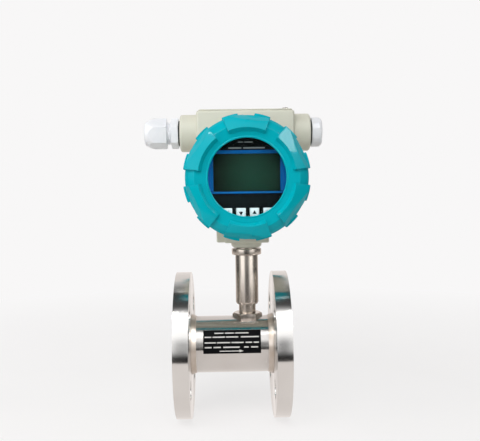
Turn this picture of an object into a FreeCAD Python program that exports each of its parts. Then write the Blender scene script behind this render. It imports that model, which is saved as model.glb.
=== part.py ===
import FreeCAD
import Part
import math
import os

# Turbine flow meter with a local display head, in millimetres.
# Origin: centre of the inlet flange's raised face. +X is the flow, +Z is up, the display faces -Y.

V = FreeCAD.Vector
X, Y, Z = V(1, 0, 0), V(0, 1, 0), V(0, 0, 1)

# Fits between pieces
shaft_play = 0.03       # radial, rotor shaft in its bushes
seat_play = 0.05        # radial, pieces that slip into a bore and stay there
turn_play = 0.08        # radial, screwed pieces that turn on each other
thread_play = 0.3       # radial, coarse threads of the covers
face_play = 0.3         # between faces of pieces that turn or slide past each other

# Flow line: DN 32, PN 16
length = 110.0          # face to face
bore = 32.0
tube_diameter = 54.0
socket_depth = 10.0     # tube end inside each flange
weld_length = 5.0
weld_height = 2.0

flange_diameter = 140.0
flange_rim = 14.0
raised_diameter = 78.0
raised_height = 2.0
bolt_circle = 100.0
bolt_hole = 18.0
bolt_count = 4
rim_chamfer = 1.0

# Rotor and its guides
hub_diameter = 14.0
rotor_hub_length = 18.0
blade_length = 14.0
blade_count = 6
blade_thickness = 1.3
blade_twist = 52.0      # degrees from leading to trailing edge
blade_tip_gap = 0.5
blade_root_sink = 1.2
blade_sections = 7      # sections that each blade is lofted through
rotor_round = 1.5
shaft_diameter = 4.0
bush_diameter = 8.0
bush_length = 7.0
shaft_end_gap = 1.0
shaft_clearance = 0.5   # radial, round the shaft's ends behind the bushes
thrust_ring_diameter = 9.0
thrust_ring_thickness = 0.8
vane_count = 4
vane_thickness = 1.5
vane_start = 2.0        # vane's root behind the guide's inner face
vane_lean = 3.0
upstream_nose = 14.0
downstream_nose = 10.0
ring_inset = 10.0       # retaining ring's groove from each face
ring_width = 1.5
ring_depth = 1.0        # groove depth in the bore wall
ring_band = 3.0         # radial width of the ring
ring_opening = 6.4
eye_spread = 4.6        # eyes from the ring's middle line
eye_inset = 2.4
eye_diameter = 4.2
eye_hole = 1.8

# Stem
stem_offset = 15.0      # downstream of the middle of the meter
boss_flats = 25.0
boss_height = 3.5       # of the hexagon above the tube's crown
boss_turn = 3.0
boss_corner = 0.6       # taken off the hexagon's corners at the top
pickup_diameter = 16.4
pickup_wall = 2.2       # steel left between the bore and the pickup
pickup_length = 48.0
pickup_chamfer = 0.8
pickup_head_gap = 1.0   # between the pickup and the sleeve's step
pickup_gap = 8.5        # pickup seen between the boss and the sleeve
sleeve_diameter = 22.0
sleeve_length = 47.8
sleeve_chamfer = 2.0
sleeve_wire_bore = 12.0
spigot_diameter = 19.8
spigot_length = 18.0
thread_chamfer = 1.0
collar_diameter = 28.7
collar_height = 6.1
collar_gap = 0.7        # collar to neck
collar_edge = 0.6
neck_diameter = 29.4
neck_height = 5.4
neck_round = 2.2

# Head housing
cavity_diameter = 89.0
barrel_depth = 70.0
spigot_wall = 4.5
cover_spigot_length = 15.0
shoulder_height = 4.0
front_room = 21.0       # display compartment behind the barrel's shoulder
rear_room = 31.0        # terminal compartment behind the barrel's shoulder
block_width = 92.0
block_depth = 44.0
block_height = 10.5     # top of the block above the barrel's crown
block_round = 3.0
entry_drop = 19.5       # cable entries below the block's top
entry_diameter = 35.6
entry_reach = 62.0      # entry faces from the stem's axis
entry_round = 2.5
entry_thread = 20.0
entry_depth = 14.0
entry_passage = 14.0
wire_pocket_width = 52.0
wire_pocket_depth = 14.0
wire_cross_bore = 8.0   # passage between the two compartments
wire_cross_rise = 23.0  # above the housing's underside
stem_wire_bore = 10.0
foot_height = 8.0       # housing's underside below the barrel
foot_width = 42.0
foot_depth = 36.0
ground_boss_reach = 28.7
ground_boss_width = 15.0
ground_boss_height = 13.0
foot_round = 1.5

# Covers
cover_depth = 25.0      # front plane from the barrel's shoulder
rim_height = 2.5        # rim above the barrel
rim_slope_width = 2.5
rim_slope_top = 5.0     # slope's outer corner behind the crest
rim_slope_foot = 8.5    # rim's full diameter behind the crest
lug_height = 2.1
lug_count = 12
lug_width = 15.0        # degrees
lug_length = 12.0
lug_chamfer = 1.0
lug_sink = 2.5
block_count = 6
cover_block_width = 44.0    # degrees
cover_block_reach = 11.5    # inwards from the rim
cover_block_slope = 0.5
cover_block_lean = 0.47     # outward lean of its flat side
cover_block_foot = 0.3      # foot of the flat side above the rim
cover_block_sink = 1.2      # its root above the spigot's end
crest_inset = 8.5           # crest from the rim
crest_depth = 3.5       # crest behind the front plane
window_diameter = 69.6
lip_width = 1.6
lip_bead = 0.7
dish_depth = 5.5        # window lip behind the front plane
plain_dish_depth = 7.0  # rear cover's face behind the front plane
plain_dish_slope = 10.0
skirt_gap = 0.4         # cover's mouth to the housing's shoulder
cover_seal_section = 2.4
cover_seal_room = 0.1
glass_margin = 2.5      # glass hidden behind the window's edge
glass_thickness = 5.0
glass_wall = 2.0        # cover's metal in front of the glass
glass_rim_wall = 3.5
glass_ring_length = 3.0
glass_ring_wall = 4.3
glass_seal_thickness = 1.0

# Display
cavity_play = 1.0       # radial, face plate in the housing
face_thickness = 1.5
face_gap = 2.0          # face plate behind the window's ring
lcd_margin = 14.0       # LCD's ends from the face plate's edge
lcd_height = 33.0
lcd_rise = 4.5          # middle of the LCD above the head axis
lcd_recess = 0.4
lcd_carrier_margin = 2.0
key_width = 8.2
key_height = 8.6
key_pitch = 11.9
key_margin = 12.3       # key row from the face plate's edge
key_clearance = 0.15
key_proud = 0.8
key_travel = 0.5
key_shift = 0.4
key_count = 4
key_foot_margin = 0.8
key_foot_thickness = 1.0
switch_width = 6.0
switch_gap = 0.1        # between a pressed key and its switch
board_play = 2.5        # radial, board in the housing
board_thickness = 1.6
board_gap = 4.5         # board behind the face plate
chip_height = 2.4
chips = ((-12, 8, 12, 12), (10, 12, 8, 16), (8, -8, 14, 6))     # x, z, width, height of each
post_diameter = 6.0
post_inset = 3.5        # posts from the board's edge
post_angle = 25.0       # posts above and below the level line
post_hole = 9.0
post_stud_hole = 7.0
spacer_inset = 3.5      # spacers from the face plate's edge
small_screw = 2.5
small_screw_reach = 8.0
small_head = 4.6
small_head_height = 1.6

# Terminal block
terminal_width = 42.0
terminal_depth = 12.0
terminal_height = 14.0
terminal_count = 5
terminal_pitch = 8.0
terminal_drop = 8.0
terminal_well = 5.2
terminal_well_depth = 2.0
terminal_well_rise = 2.5
terminal_tap = 3.0
terminal_tap_depth = 6.0
terminal_screw_head = 5.0
terminal_screw_head_height = 1.4
wire_slot_width = 4.8
wire_slot_depth = 6.0
wire_slot_height = 5.0

# Cable gland, blanking plug and their seals
seal_thickness = 1.6
seal_diameter = 24.0
gland_flats = 25.4
gland_flange = 6.7
gland_thread = 21.0
gland_thread_seen = 4.4
gland_thread_hidden = 9.0   # inside the dome nut
gland_inner_thread = 12.0   # inside the housing
gland_turn = -10.0
gland_corner = 0.5          # taken off the hexagons' corners
dome_flats = 25.6
dome_length = 13.0
dome_taper = 8.0
dome_end = 23.6
dome_mouth = 14.0
dome_lip = 2.0
dome_seat = 4.0             # cone that squeezes the insert
insert_taper = 4.0
insert_bore = 10.0
insert_diameter = 15.0
plug_diameter = 28.0
plug_length = 9.6
plug_turn = 10.0
plug_round = 1.6
plug_flat_depth = 0.8       # flats cut into its rim
plug_thread_length = 11.0

# Name plate, top plate and screws
plate_width = 54.0
plate_height = 22.0
plate_thickness = 0.6
plate_turn = 16.0       # degrees up from the front of the tube
plate_shift = -0.3
top_plate_margin = 2.0
top_plate_thickness = 1.0
top_plate_round = 4.0
top_screw_inset_x = 8.0
top_screw_inset_y = 8.0
top_screw_head = 6.5
top_screw_head_height = 1.6
top_screw_shank = 3.0
top_screw_length = 8.0
ground_screw_head = 7.0
screw_play = 0.1
screw_slot = 0.8
screw_end_gap = 1.0

# Places worked out from the sizes above
insert_length = gland_thread_seen + dome_length - 2 * face_play
tube_r = tube_diameter / 2
bore_r = bore / 2
stem_x = length / 2 + stem_offset
boss_top = tube_r + boss_height
sleeve_bottom = boss_top + pickup_gap
sleeve_top = sleeve_bottom + sleeve_length
collar_top = sleeve_top + collar_height
neck_bottom = collar_top + collar_gap
foot_bottom = neck_bottom + neck_height
spigot_r = cavity_diameter / 2 + spigot_wall
barrel_r = spigot_r + shoulder_height
head_z = foot_bottom + foot_height + barrel_r
head = V(stem_x, 0, head_z)
block_top = head_z + barrel_r + block_height
entry_z = block_top - entry_drop
shoulder = barrel_depth / 2
partition_front = shoulder - front_room
partition_rear = shoulder - rear_room
mouth = shoulder + skirt_gap
spigot_end = shoulder + cover_spigot_length
cover_front = shoulder + cover_depth
rim_r = barrel_r + rim_height
lug_r = rim_r + lug_height
crest_radius = rim_r - crest_inset
glass_r = window_diameter / 2 + glass_margin
face_r = cavity_diameter / 2 - cavity_play
board_r = cavity_diameter / 2 - board_play
lcd_width = 2 * (face_r - lcd_margin)
key_drop = face_r - key_margin
pocket_end = cover_front - dish_depth - glass_wall
glass_back = pocket_end - glass_thickness
ring_back = glass_back - glass_seal_thickness - glass_ring_length
face_front = ring_back - face_gap
face_back = face_front - face_thickness
board_front = face_front - board_gap
board_back = board_front - board_thickness


def cylinder(radius, height, base, axis):
    return Part.makeCylinder(radius, height, base, axis)


def tube(outer, inner, height, base, axis):
    return cylinder(outer, height, base, axis).cut(cylinder(inner, height, base, axis))


def box(low, high):
    return Part.makeBox(high.x - low.x, high.y - low.y, high.z - low.z, low)


def turned(points, axis, place, angle=360.0):
    """Solid turned about an axis through place; points are (radius, distance along the axis)."""
    side = Z if abs(axis.z) < 0.5 else X
    corners = [place + side * radius + axis * along for radius, along in points]
    face = Part.Face(Part.makePolygon(corners + corners[:1]))
    return face.revolve(place, axis, angle)


def hexagon(flats, height, base, axis, turn=0.0):
    """Six-sided prism along an axis, measured across its flats."""
    corner = flats / math.sqrt(3)
    start = Z if abs(axis.z) < 0.5 else X
    rim = [FreeCAD.Rotation(axis, turn + 60 * k).multVec(start * corner) + base for k in range(7)]
    return Part.Face(Part.makePolygon(rim)).extrude(axis * height)


def spun(shape, place, axis, count, start=0.0):
    """Copies of a shape evenly spaced about an axis."""
    copies = []
    for k in range(count):
        copy = shape.copy()
        copy.rotate(place, axis, start + 360.0 * k / count)
        copies.append(copy)
    return copies


def joined(shapes):
    whole = shapes[0].fuse(shapes[1:]) if len(shapes) > 1 else shapes[0]
    return whole.removeSplitter()


def rounded(shape, radius, chosen):
    """Fillet on the edges that a test picks."""
    edges = [edge for edge in shape.Edges if chosen(edge)]
    return shape.makeFillet(radius, edges) if edges else shape


def save(name, *solids):
    shape = solids[0] if len(solids) == 1 else Part.makeCompound(list(solids))
    shape.exportStep("parts/" + name + ".step")


def screw(place, axis, shank, reach, head_size, head_height):
    """Slotted screw whose head sits on place; axis points out of the head."""
    body = cylinder(shank / 2, reach, place - axis * reach, axis)
    cap = cylinder(head_size / 2, head_height, place, axis)
    across = Z if abs(axis.z) < 0.5 else X
    side = axis.cross(across)
    centre = place + axis * head_height
    reach_x = across * head_size
    reach_y = side * (screw_slot / 2)
    corners = [centre + reach_x + reach_y, centre - reach_x + reach_y,
               centre - reach_x - reach_y, centre + reach_x - reach_y]
    groove = Part.Face(Part.makePolygon(corners + corners[:1])).extrude(axis * (-head_height / 2))
    return body.fuse(cap).removeSplitter().cut(groove)


# ---- flow line -----------------------------------------------------------------------------

def flange(face, inward):
    """Raised-face flange; face is the x of its raised face, inward is +1 or -1 along X."""
    axis = X * inward
    start = V(face, 0, 0)
    rim_r = flange_diameter / 2
    back = raised_height + flange_rim
    profile = [(bore_r, 0), (raised_diameter / 2, 0), (raised_diameter / 2, raised_height),
               (rim_r - rim_chamfer, raised_height), (rim_r, raised_height + rim_chamfer),
               (rim_r, back - rim_chamfer), (rim_r - rim_chamfer, back),
               (tube_r, back), (tube_r, back - socket_depth), (bore_r, back - socket_depth)]
    body = turned(profile, axis, start)
    hole = cylinder(bolt_hole / 2, back + 2, start - axis + Y * (bolt_circle / 2), axis)
    return body.cut(Part.makeCompound(spun(hole, start, X, bolt_count, 180.0 / bolt_count)))


def weld_ring(face, inward):
    """Fillet weld between a flange's inner face and the tube."""
    axis = X * inward
    foot = raised_height + flange_rim
    profile = [(tube_r, foot), (tube_r + weld_height, foot),
               (tube_r + 0.75 * weld_height, foot + 0.35 * weld_length),
               (tube_r + 0.2 * weld_height, foot + 0.85 * weld_length), (tube_r, foot + weld_length)]
    return turned(profile, axis, V(face, 0, 0))


def body_tube():
    end = raised_height + flange_rim - socket_depth
    shape = tube(tube_r, bore_r, length - 2 * end, V(end, 0, 0), X)
    pocket = cylinder(pickup_diameter / 2 + seat_play, tube_r, V(stem_x, 0, bore_r + pickup_wall), Z)
    groove_r = bore_r + ring_depth
    near = cylinder(groove_r, ring_width, V(ring_inset, 0, 0), X)
    far = cylinder(groove_r, ring_width, V(length - ring_inset - ring_width, 0, 0), X)
    return shape.cut(Part.makeCompound([pocket, near, far]))


def retaining_ring(start):
    """Sprung ring with two eyes, in its groove in the bore."""
    outer = bore_r + ring_depth - seat_play
    ring = tube(outer, outer - ring_band, ring_width, V(start, 0, 0), X)
    half = ring_opening / 2
    ring = ring.cut(box(V(start, -half, -2 * outer), V(start + ring_width, half, 0)))
    for side in (-1, 1):
        centre = V(start, side * eye_spread, -math.sqrt((outer - eye_inset) ** 2 - eye_spread ** 2))
        ring = ring.fuse(cylinder(eye_diameter / 2, ring_width, centre, X))
        ring = ring.cut(cylinder(eye_hole / 2, ring_width, centre, X))
    return ring.removeSplitter()


# ---- measuring insert ----------------------------------------------------------------------

rotor_start = stem_x - rotor_hub_length / 2
rotor_end = stem_x + rotor_hub_length / 2
upstream_face = rotor_start - face_play - thrust_ring_thickness
downstream_face = rotor_end + face_play + thrust_ring_thickness


def guide(face, outward, end, nose):
    """Flow straightener: hub with a streamlined nose and radial vanes that fill the bore."""
    axis = X * outward
    hub_r = hub_diameter / 2
    reach = abs(end - face)
    tip = [(hub_r * math.cos(math.radians(a)), reach - nose + nose * math.sin(math.radians(a)))
           for a in range(0, 91, 10)]
    hub = turned([(0, 0), (hub_r, 0)] + tip[:-1] + [(0, reach)], axis, V(face, 0, 0))
    vane_r = bore_r - seat_play
    half = vane_thickness / 2
    outline = [V(face, -half, 0) + axis * vane_start + Z * (hub_r - 1),
               V(face, -half, 0) + axis * (vane_start + vane_lean) + Z * (vane_r + 1),
               V(face, -half, 0) + axis * reach + Z * (vane_r + 1),
               V(face, -half, 0) + axis * (reach - 0.6 * nose) + Z * (hub_r - 1)]
    vane = Part.Face(Part.makePolygon(outline + outline[:1])).extrude(Y * vane_thickness)
    whole = joined([hub] + spun(vane, V(face, 0, 0), X, vane_count, 45))
    whole = whole.common(cylinder(vane_r, reach, V(face, 0, 0), axis))
    pocket = cylinder(bush_diameter / 2 + seat_play, bush_length, V(face, 0, 0), axis)
    clearance = cylinder(shaft_diameter / 2 + shaft_clearance, bush_length + 2 * shaft_end_gap,
                         V(face, 0, 0), axis)
    return whole.cut(Part.makeCompound([pocket, clearance]))


def bush(face, outward):
    inner = shaft_diameter / 2 + shaft_play
    return tube(bush_diameter / 2, inner, bush_length, V(face, 0, 0), X * outward)


def thrust_ring(face, inward):
    inner = shaft_diameter / 2 + 4 * shaft_play
    return tube(thrust_ring_diameter / 2, inner, thrust_ring_thickness, V(face, 0, 0), X * inward)


def rotor():
    """Hub with helical blades, each lofted through sections turned along the lead."""
    hub_r = hub_diameter / 2
    profile = [(shaft_diameter / 2, 0), (hub_r - rotor_round, 0), (hub_r, rotor_round),
               (hub_r, rotor_hub_length - rotor_round), (hub_r - rotor_round, rotor_hub_length),
               (shaft_diameter / 2, rotor_hub_length)]
    hub = turned(profile, X, V(rotor_start, 0, 0))
    tip_r = bore_r - blade_tip_gap
    root_r = hub_r - blade_root_sink
    half = blade_thickness / 2
    sections = []
    for k in range(blade_sections):
        share = k / (blade_sections - 1)
        at = stem_x - blade_length / 2 + blade_length * share
        turn = FreeCAD.Rotation(X, blade_twist * (share - 0.5))
        corners = [V(0, -half, root_r), V(0, half, root_r), V(0, half, tip_r + 1), V(0, -half, tip_r + 1)]
        placed = [turn.multVec(corner) + V(at, 0, 0) for corner in corners]
        sections.append(Part.makePolygon(placed + placed[:1]))
    blade = Part.makeLoft(sections, True, False)
    blades = spun(blade, V(0, 0, 0), X, blade_count)
    whole = hub.fuse(blades)
    whole = whole.common(tube(tip_r, shaft_diameter / 2, rotor_hub_length, V(rotor_start, 0, 0), X))
    return whole.removeSplitter()


def rotor_shaft():
    reach = bush_length + face_play + thrust_ring_thickness
    return cylinder(shaft_diameter / 2, rotor_hub_length + 2 * reach, V(rotor_start - reach, 0, 0), X)


# ---- stem ----------------------------------------------------------------------------------

def pickup_boss():
    """Hexagonal boss saddled on the tube and bored for the pickup."""
    block = hexagon(boss_flats, boss_top, V(stem_x, 0, 0), Z, boss_turn)
    top_r = boss_flats / math.sqrt(3) - boss_corner
    cone = Part.makeCone(top_r + boss_top, top_r, boss_top, V(stem_x, 0, 0), Z)
    shape = block.common(cone)
    shape = shape.cut(cylinder(tube_r, length, V(0, 0, 0), X))
    return shape.cut(cylinder(pickup_diameter / 2 + seat_play, boss_top, V(stem_x, 0, 0), Z))


def pickup():
    base = bore_r + pickup_wall + seat_play
    body = cylinder(pickup_diameter / 2, pickup_length, V(stem_x, 0, base), Z)
    return body.makeChamfer(pickup_chamfer, [body.Edges[0], body.Edges[2]])


def stem_sleeve():
    """Tube round the pickup, with the threaded spigot that carries the collar and the head."""
    place = V(stem_x, 0, sleeve_bottom)
    inner = pickup_diameter / 2 + seat_play
    outer = sleeve_diameter / 2
    wire = sleeve_wire_bore / 2
    spigot = spigot_diameter / 2
    pickup_top = bore_r + pickup_wall + pickup_length + pickup_head_gap - sleeve_bottom
    total = sleeve_length + spigot_length
    profile = [(inner, 0), (outer - sleeve_chamfer / 2, 0), (outer, sleeve_chamfer),
               (outer, sleeve_length), (spigot, sleeve_length), (spigot, total - thread_chamfer),
               (spigot - thread_chamfer, total), (wire, total), (wire, pickup_top), (inner, pickup_top)]
    return turned(profile, Z, place)


def lock_collar():
    outer = collar_diameter / 2
    inner = spigot_diameter / 2 + turn_play
    profile = [(inner, 0), (outer - collar_edge, 0), (outer, collar_edge),
               (outer, collar_height - collar_edge), (outer - collar_edge, collar_height),
               (inner, collar_height)]
    return turned(profile, Z, V(stem_x, 0, sleeve_top + seat_play))


# ---- head housing --------------------------------------------------------------------------

def housing():
    """Two-compartment casting with a block for the cable entries on top and a foot on the neck."""
    barrel = cylinder(barrel_r, barrel_depth, head - Y * shoulder, Y)
    spigots = cylinder(spigot_r, 2 * spigot_end, head - Y * spigot_end, Y)

    low = V(stem_x - block_width / 2, -block_depth / 2, head_z)
    high = V(stem_x + block_width / 2, block_depth / 2, block_top)
    block = box(low, high)
    block = rounded(block, block_round, lambda edge: edge.CenterOfMass.z > head_z + 1)
    entries = cylinder(entry_diameter / 2, 2 * entry_reach, V(stem_x - entry_reach, 0, entry_z), X)
    entries = entries.makeFillet(entry_round, [entries.Edges[0], entries.Edges[2]])

    foot_top = head_z - barrel_r / 2
    foot = box(V(stem_x - foot_width / 2, -foot_depth / 2, foot_bottom),
               V(stem_x + foot_width / 2, foot_depth / 2, foot_top))
    foot = rounded(foot, foot_round, lambda edge: edge.CenterOfMass.z < foot_bottom + 1)
    ground = box(V(stem_x - ground_boss_reach, -ground_boss_width / 2, foot_bottom),
                 V(stem_x, ground_boss_width / 2, foot_bottom + 2 * ground_boss_height))
    ground = rounded(ground, foot_round, lambda edge: edge.CenterOfMass.x < stem_x - foot_width / 2 + 1
                     and edge.CenterOfMass.z < foot_bottom + ground_boss_height)
    neck = turned([(0, 0), (neck_diameter / 2 - neck_round, 0),
                   (neck_diameter / 2 - 0.3 * neck_round, 0.3 * neck_round),
                   (neck_diameter / 2, neck_round), (neck_diameter / 2, neck_height + 1),
                   (0, neck_height + 1)], Z, V(stem_x, 0, neck_bottom))
    solid = joined([barrel, spigots, block, entries, foot, ground, neck])

    cavity = cavity_diameter / 2
    hollows = [
        cylinder(cavity, spigot_end - partition_front, head - Y * spigot_end, Y),
        cylinder(cavity, spigot_end - partition_rear, head + Y * partition_rear, Y),
        cylinder(entry_thread / 2 + turn_play, entry_depth, V(stem_x - entry_reach, 0, entry_z), X),
        cylinder(entry_thread / 2 + turn_play, entry_depth, V(stem_x + entry_reach, 0, entry_z), X * -1),
        cylinder(entry_passage / 2, 2 * entry_reach, V(stem_x - entry_reach, 0, entry_z), X),
        box(V(stem_x - wire_pocket_width / 2, partition_rear, head_z),
            V(stem_x + wire_pocket_width / 2, partition_rear + wire_pocket_depth,
              entry_z + entry_passage / 2)),
        cylinder(spigot_diameter / 2 + turn_play, spigot_length - collar_height,
                 V(stem_x, 0, neck_bottom), Z),
        cylinder(stem_wire_bore / 2, neck_height + wire_cross_rise, V(stem_x, 0, neck_bottom), Z),
        cylinder(wire_cross_bore / 2, partition_front + partition_rear,
                 V(stem_x, -partition_front, foot_bottom + wire_cross_rise), Y),
    ]
    hollows += [cylinder(small_screw / 2, post_stud_hole, post_place(x, z), Y) for x, z in corner_signs]
    tap_r = top_screw_shank / 2 + seat_play
    hollows += [cylinder(tap_r, top_screw_length, place - Z * top_screw_length, Z)
                for place in top_screw_places()]
    hollows.append(cylinder(tap_r, top_screw_length, ground_screw_place() - Y * top_screw_length, Y))
    return solid.cut(Part.makeCompound(hollows))


corner_signs = [(-1, -1), (1, -1), (1, 1), (-1, 1)]


def post_place(x, z):
    """Foot of a display post on the front of the partition."""
    spread = board_r - post_inset
    angle = math.radians(post_angle)
    return head + V(x * spread * math.cos(angle), -partition_front, z * spread * math.sin(angle))


def top_screw_places():
    reach_x = block_width / 2 - top_screw_inset_x
    reach_y = block_depth / 2 - top_screw_inset_y
    return [V(stem_x + side * reach_x, -side * reach_y, block_top) for side in (-1, 1)]


def ground_screw_place():
    across = stem_x - (ground_boss_reach + foot_width / 2) / 2
    return V(across, ground_boss_width / 2, foot_bottom + ground_boss_height / 2)


def top_plate():
    reach_x = block_width / 2 - top_plate_margin
    reach_y = block_depth / 2 - top_plate_margin
    plate = box(V(stem_x - reach_x, -reach_y, block_top),
                V(stem_x + reach_x, reach_y, block_top + top_plate_thickness))
    plate = rounded(plate, top_plate_round, lambda edge: abs(edge.tangentAt(edge.FirstParameter).z) > 0.9)
    holes = [cylinder(top_screw_shank / 2 + seat_play, top_plate_thickness, place, Z)
             for place in top_screw_places()]
    return plate.cut(Part.makeCompound(holes))


# ---- covers --------------------------------------------------------------------------------

def cover(out, window):
    """Screwed cover with grip blocks and lugs; out points from the head to the cover's face."""
    skirt_r = spigot_r + thread_play
    front = cover_front
    crest = front - crest_depth
    slope_foot = crest - rim_slope_foot
    seal_r = skirt_r + cover_seal_section
    seal_back = mouth + cover_seal_section + 2 * cover_seal_room
    inner_face = spigot_end + face_play
    outside = [(crest_radius, crest), (rim_r - rim_slope_width, crest - rim_slope_top), (rim_r, slope_foot),
               (rim_r, mouth), (seal_r, mouth), (seal_r, seal_back), (skirt_r, seal_back),
               (skirt_r, inner_face)]
    if window:
        pocket_r = glass_r + seat_play
        wall_r = pocket_r + glass_rim_wall
        window_r = window_diameter / 2
        lip = front - dish_depth
        inside = [(wall_r, inner_face), (wall_r, ring_back), (pocket_r, ring_back),
                  (pocket_r, pocket_end), (window_r, pocket_end), (window_r, lip),
                  (window_r + lip_width / 2, lip + lip_bead), (window_r + lip_width, lip)]
    else:
        plain_face = front - plain_dish_depth
        inside = [(0, inner_face), (0, plain_face), (crest_radius - plain_dish_slope, plain_face)]
    body = turned(outside + inside, out, head)
    blocks = spun(grip_block(out, inner_face + cover_block_sink, slope_foot), head, out, block_count)

    root_r = rim_r - lug_sink
    lug = turned([(root_r, mouth), (lug_r, mouth), (lug_r, mouth + lug_length - lug_chamfer),
                  (lug_r - lug_chamfer, mouth + lug_length), (root_r, mouth + lug_length)],
                 out, head, lug_width)
    lug.rotate(head, out, 180 / lug_count - lug_width / 2)
    return joined([body] + blocks + spun(lug, head, out, lug_count))


def grip_block(out, root, slope_foot):
    """One of the cover's raised blocks, its outer side flat and leaning outwards to the rim."""
    front = cover_front
    inner = rim_r - cover_block_reach
    profile = [(inner, root), (inner, front), (lug_r, front - cover_block_slope * (lug_r - inner)),
               (lug_r, slope_foot), (rim_r - lug_sink, slope_foot), (rim_r - lug_sink, root)]
    sector = turned(profile, out, head, cover_block_width)
    sector.rotate(head, out, -cover_block_width / 2)
    flat_foot = rim_r + cover_block_foot
    lean = cover_block_lean * (front - slope_foot)
    outline = [head + out * slope_foot, head + out * front, head + out * front + Z * (flat_foot - lean),
               head + out * slope_foot + Z * flat_foot]
    side = out.cross(Z)
    slab = Part.Face(Part.makePolygon(outline + outline[:1])).extrude(side * (2 * lug_r))
    slab.translate(side * -lug_r)
    return sector.common(slab)


def cover_seal(out):
    middle = spigot_r + thread_play + cover_seal_section / 2
    ring = Part.makeTorus(middle, cover_seal_section / 2 - seat_play)
    ring.Placement = FreeCAD.Placement(head + out * (mouth + cover_seal_section / 2 + cover_seal_room),
                                       FreeCAD.Rotation(Z, out))
    return ring


def glass_ring():
    return tube(glass_r, glass_r - glass_ring_wall, glass_ring_length, head - Y * ring_back, Y * -1)


# ---- display -------------------------------------------------------------------------------

key_places = [V(stem_x + key_shift + (k - (key_count - 1) / 2) * key_pitch, 0, head_z - key_drop)
              for k in range(key_count)]


def face_plate():
    plate = cylinder(face_r, face_thickness, head - Y * face_front, Y)
    spread = (face_r - spacer_inset) / math.sqrt(2)
    spacers = [cylinder(post_diameter / 2, board_gap - face_thickness,
                        head + V(x * spread, -face_back, z * spread), Y) for x, z in corner_signs]
    solid = joined([plate] + spacers)
    reach = V(lcd_width / 2, 0, lcd_height / 2)
    middle = head + Z * lcd_rise
    cuts = [box(middle - reach - Y * face_front, middle + reach - Y * face_back)]
    for place in key_places:
        reach = V(key_width / 2 + key_clearance, 0, key_height / 2 + key_clearance)
        cuts.append(box(place - reach - Y * face_front, place + reach - Y * face_back))
    return solid.cut(Part.makeCompound(cuts))


def lcd():
    """Display glass behind the face plate's window, with its carrier down to the board."""
    reach = V(lcd_width / 2 - seat_play, 0, lcd_height / 2 - seat_play)
    middle = head + Z * lcd_rise
    glass_seat = face_back - 2 * seat_play
    glass = box(middle - reach - Y * (face_front - lcd_recess), middle + reach - Y * glass_seat)
    wide = V(lcd_width / 2 + lcd_carrier_margin, 0, lcd_height / 2 + lcd_carrier_margin)
    carrier = box(middle - wide - Y * (face_back - seat_play), middle + wide - Y * board_front)
    return glass.fuse(carrier).removeSplitter()


def key(place):
    """One key: cap through the face plate, wider foot behind it."""
    cap = V(key_width / 2, 0, key_height / 2)
    foot = cap + V(key_foot_margin, 0, key_foot_margin)
    foot_front = face_back - face_play
    foot_back = foot_front - key_foot_thickness
    body = box(place - cap - Y * (face_front + key_proud), place + cap - Y * foot_back)
    return body.fuse(box(place - foot - Y * foot_front, place + foot - Y * foot_back)).removeSplitter()


def display_board():
    """Round board with a switch behind each key and its chips on the back."""
    board = cylinder(board_r, board_thickness, head - Y * board_front, Y)
    switch_top = face_back - face_play - key_foot_thickness - key_travel - switch_gap
    for place in key_places:
        reach = V(switch_width / 2, 0, switch_width / 2)
        board = board.fuse(box(place - reach - Y * switch_top, place + reach - Y * board_front))
    for x, z, wide, tall in chips:
        centre = head + V(x, 0, z)
        reach = V(wide / 2, 0, tall / 2)
        chip_back = board_back - chip_height
        board = board.fuse(box(centre - reach - Y * board_back, centre + reach - Y * chip_back))
    holes = [cylinder(small_screw / 2 + seat_play, board_thickness,
                      post_place(x, z) - Y * (board_front - partition_front), Y) for x, z in corner_signs]
    return board.removeSplitter().cut(Part.makeCompound(holes))


def display_posts():
    tall = board_back - partition_front
    posts = []
    for x, z in corner_signs:
        foot = post_place(x, z)
        post = cylinder(post_diameter / 2, tall, foot, Y * -1)
        posts.append(post.cut(cylinder(small_screw / 2, post_hole, foot - Y * tall, Y)))
    return posts


# ---- the rest of the head ------------------------------------------------------------------

def terminal_places():
    """Middles of the terminals, on the rear of the partition."""
    centre = head + V(0, partition_rear, -terminal_drop)
    return [centre + X * ((k - (terminal_count - 1) / 2) * terminal_pitch) for k in range(terminal_count)]


def terminal_block():
    centre = head + V(0, partition_rear, -terminal_drop)
    body = box(centre - V(terminal_width / 2, 0, terminal_height / 2),
               centre + V(terminal_width / 2, terminal_depth, terminal_height / 2))
    cuts = []
    for at in terminal_places():
        seat = at + V(0, terminal_depth - terminal_well_depth, terminal_well_rise)
        cuts.append(cylinder(terminal_well / 2, terminal_well_depth, seat, Y))
        cuts.append(cylinder(terminal_tap / 2, terminal_tap_depth, seat - Y * terminal_tap_depth, Y))
        foot = at + V(0, terminal_depth / 2, -terminal_height / 2)
        reach = V(wire_slot_width / 2, wire_slot_depth / 2, 0)
        cuts.append(box(foot - reach, foot + reach + Z * wire_slot_height))
    return body.cut(Part.makeCompound(cuts))


def terminal_screws():
    rise = V(0, terminal_depth - terminal_well_depth, terminal_well_rise)
    return [screw(at + rise, Y, terminal_tap - screw_play, terminal_tap_depth - shaft_clearance,
                  terminal_screw_head, terminal_screw_head_height) for at in terminal_places()]


def gland_place():
    return V(stem_x - entry_reach, 0, entry_z)


def plug_place():
    return V(stem_x + entry_reach, 0, entry_z)


def entry_seal(place, out):
    outer = seal_diameter / 2
    shape = tube(outer, entry_thread / 2 + turn_play, seal_thickness, place, out)
    return rounded(shape, seal_thickness * 0.4, lambda edge: edge.BoundBox.DiagonalLength > seal_diameter)


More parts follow.
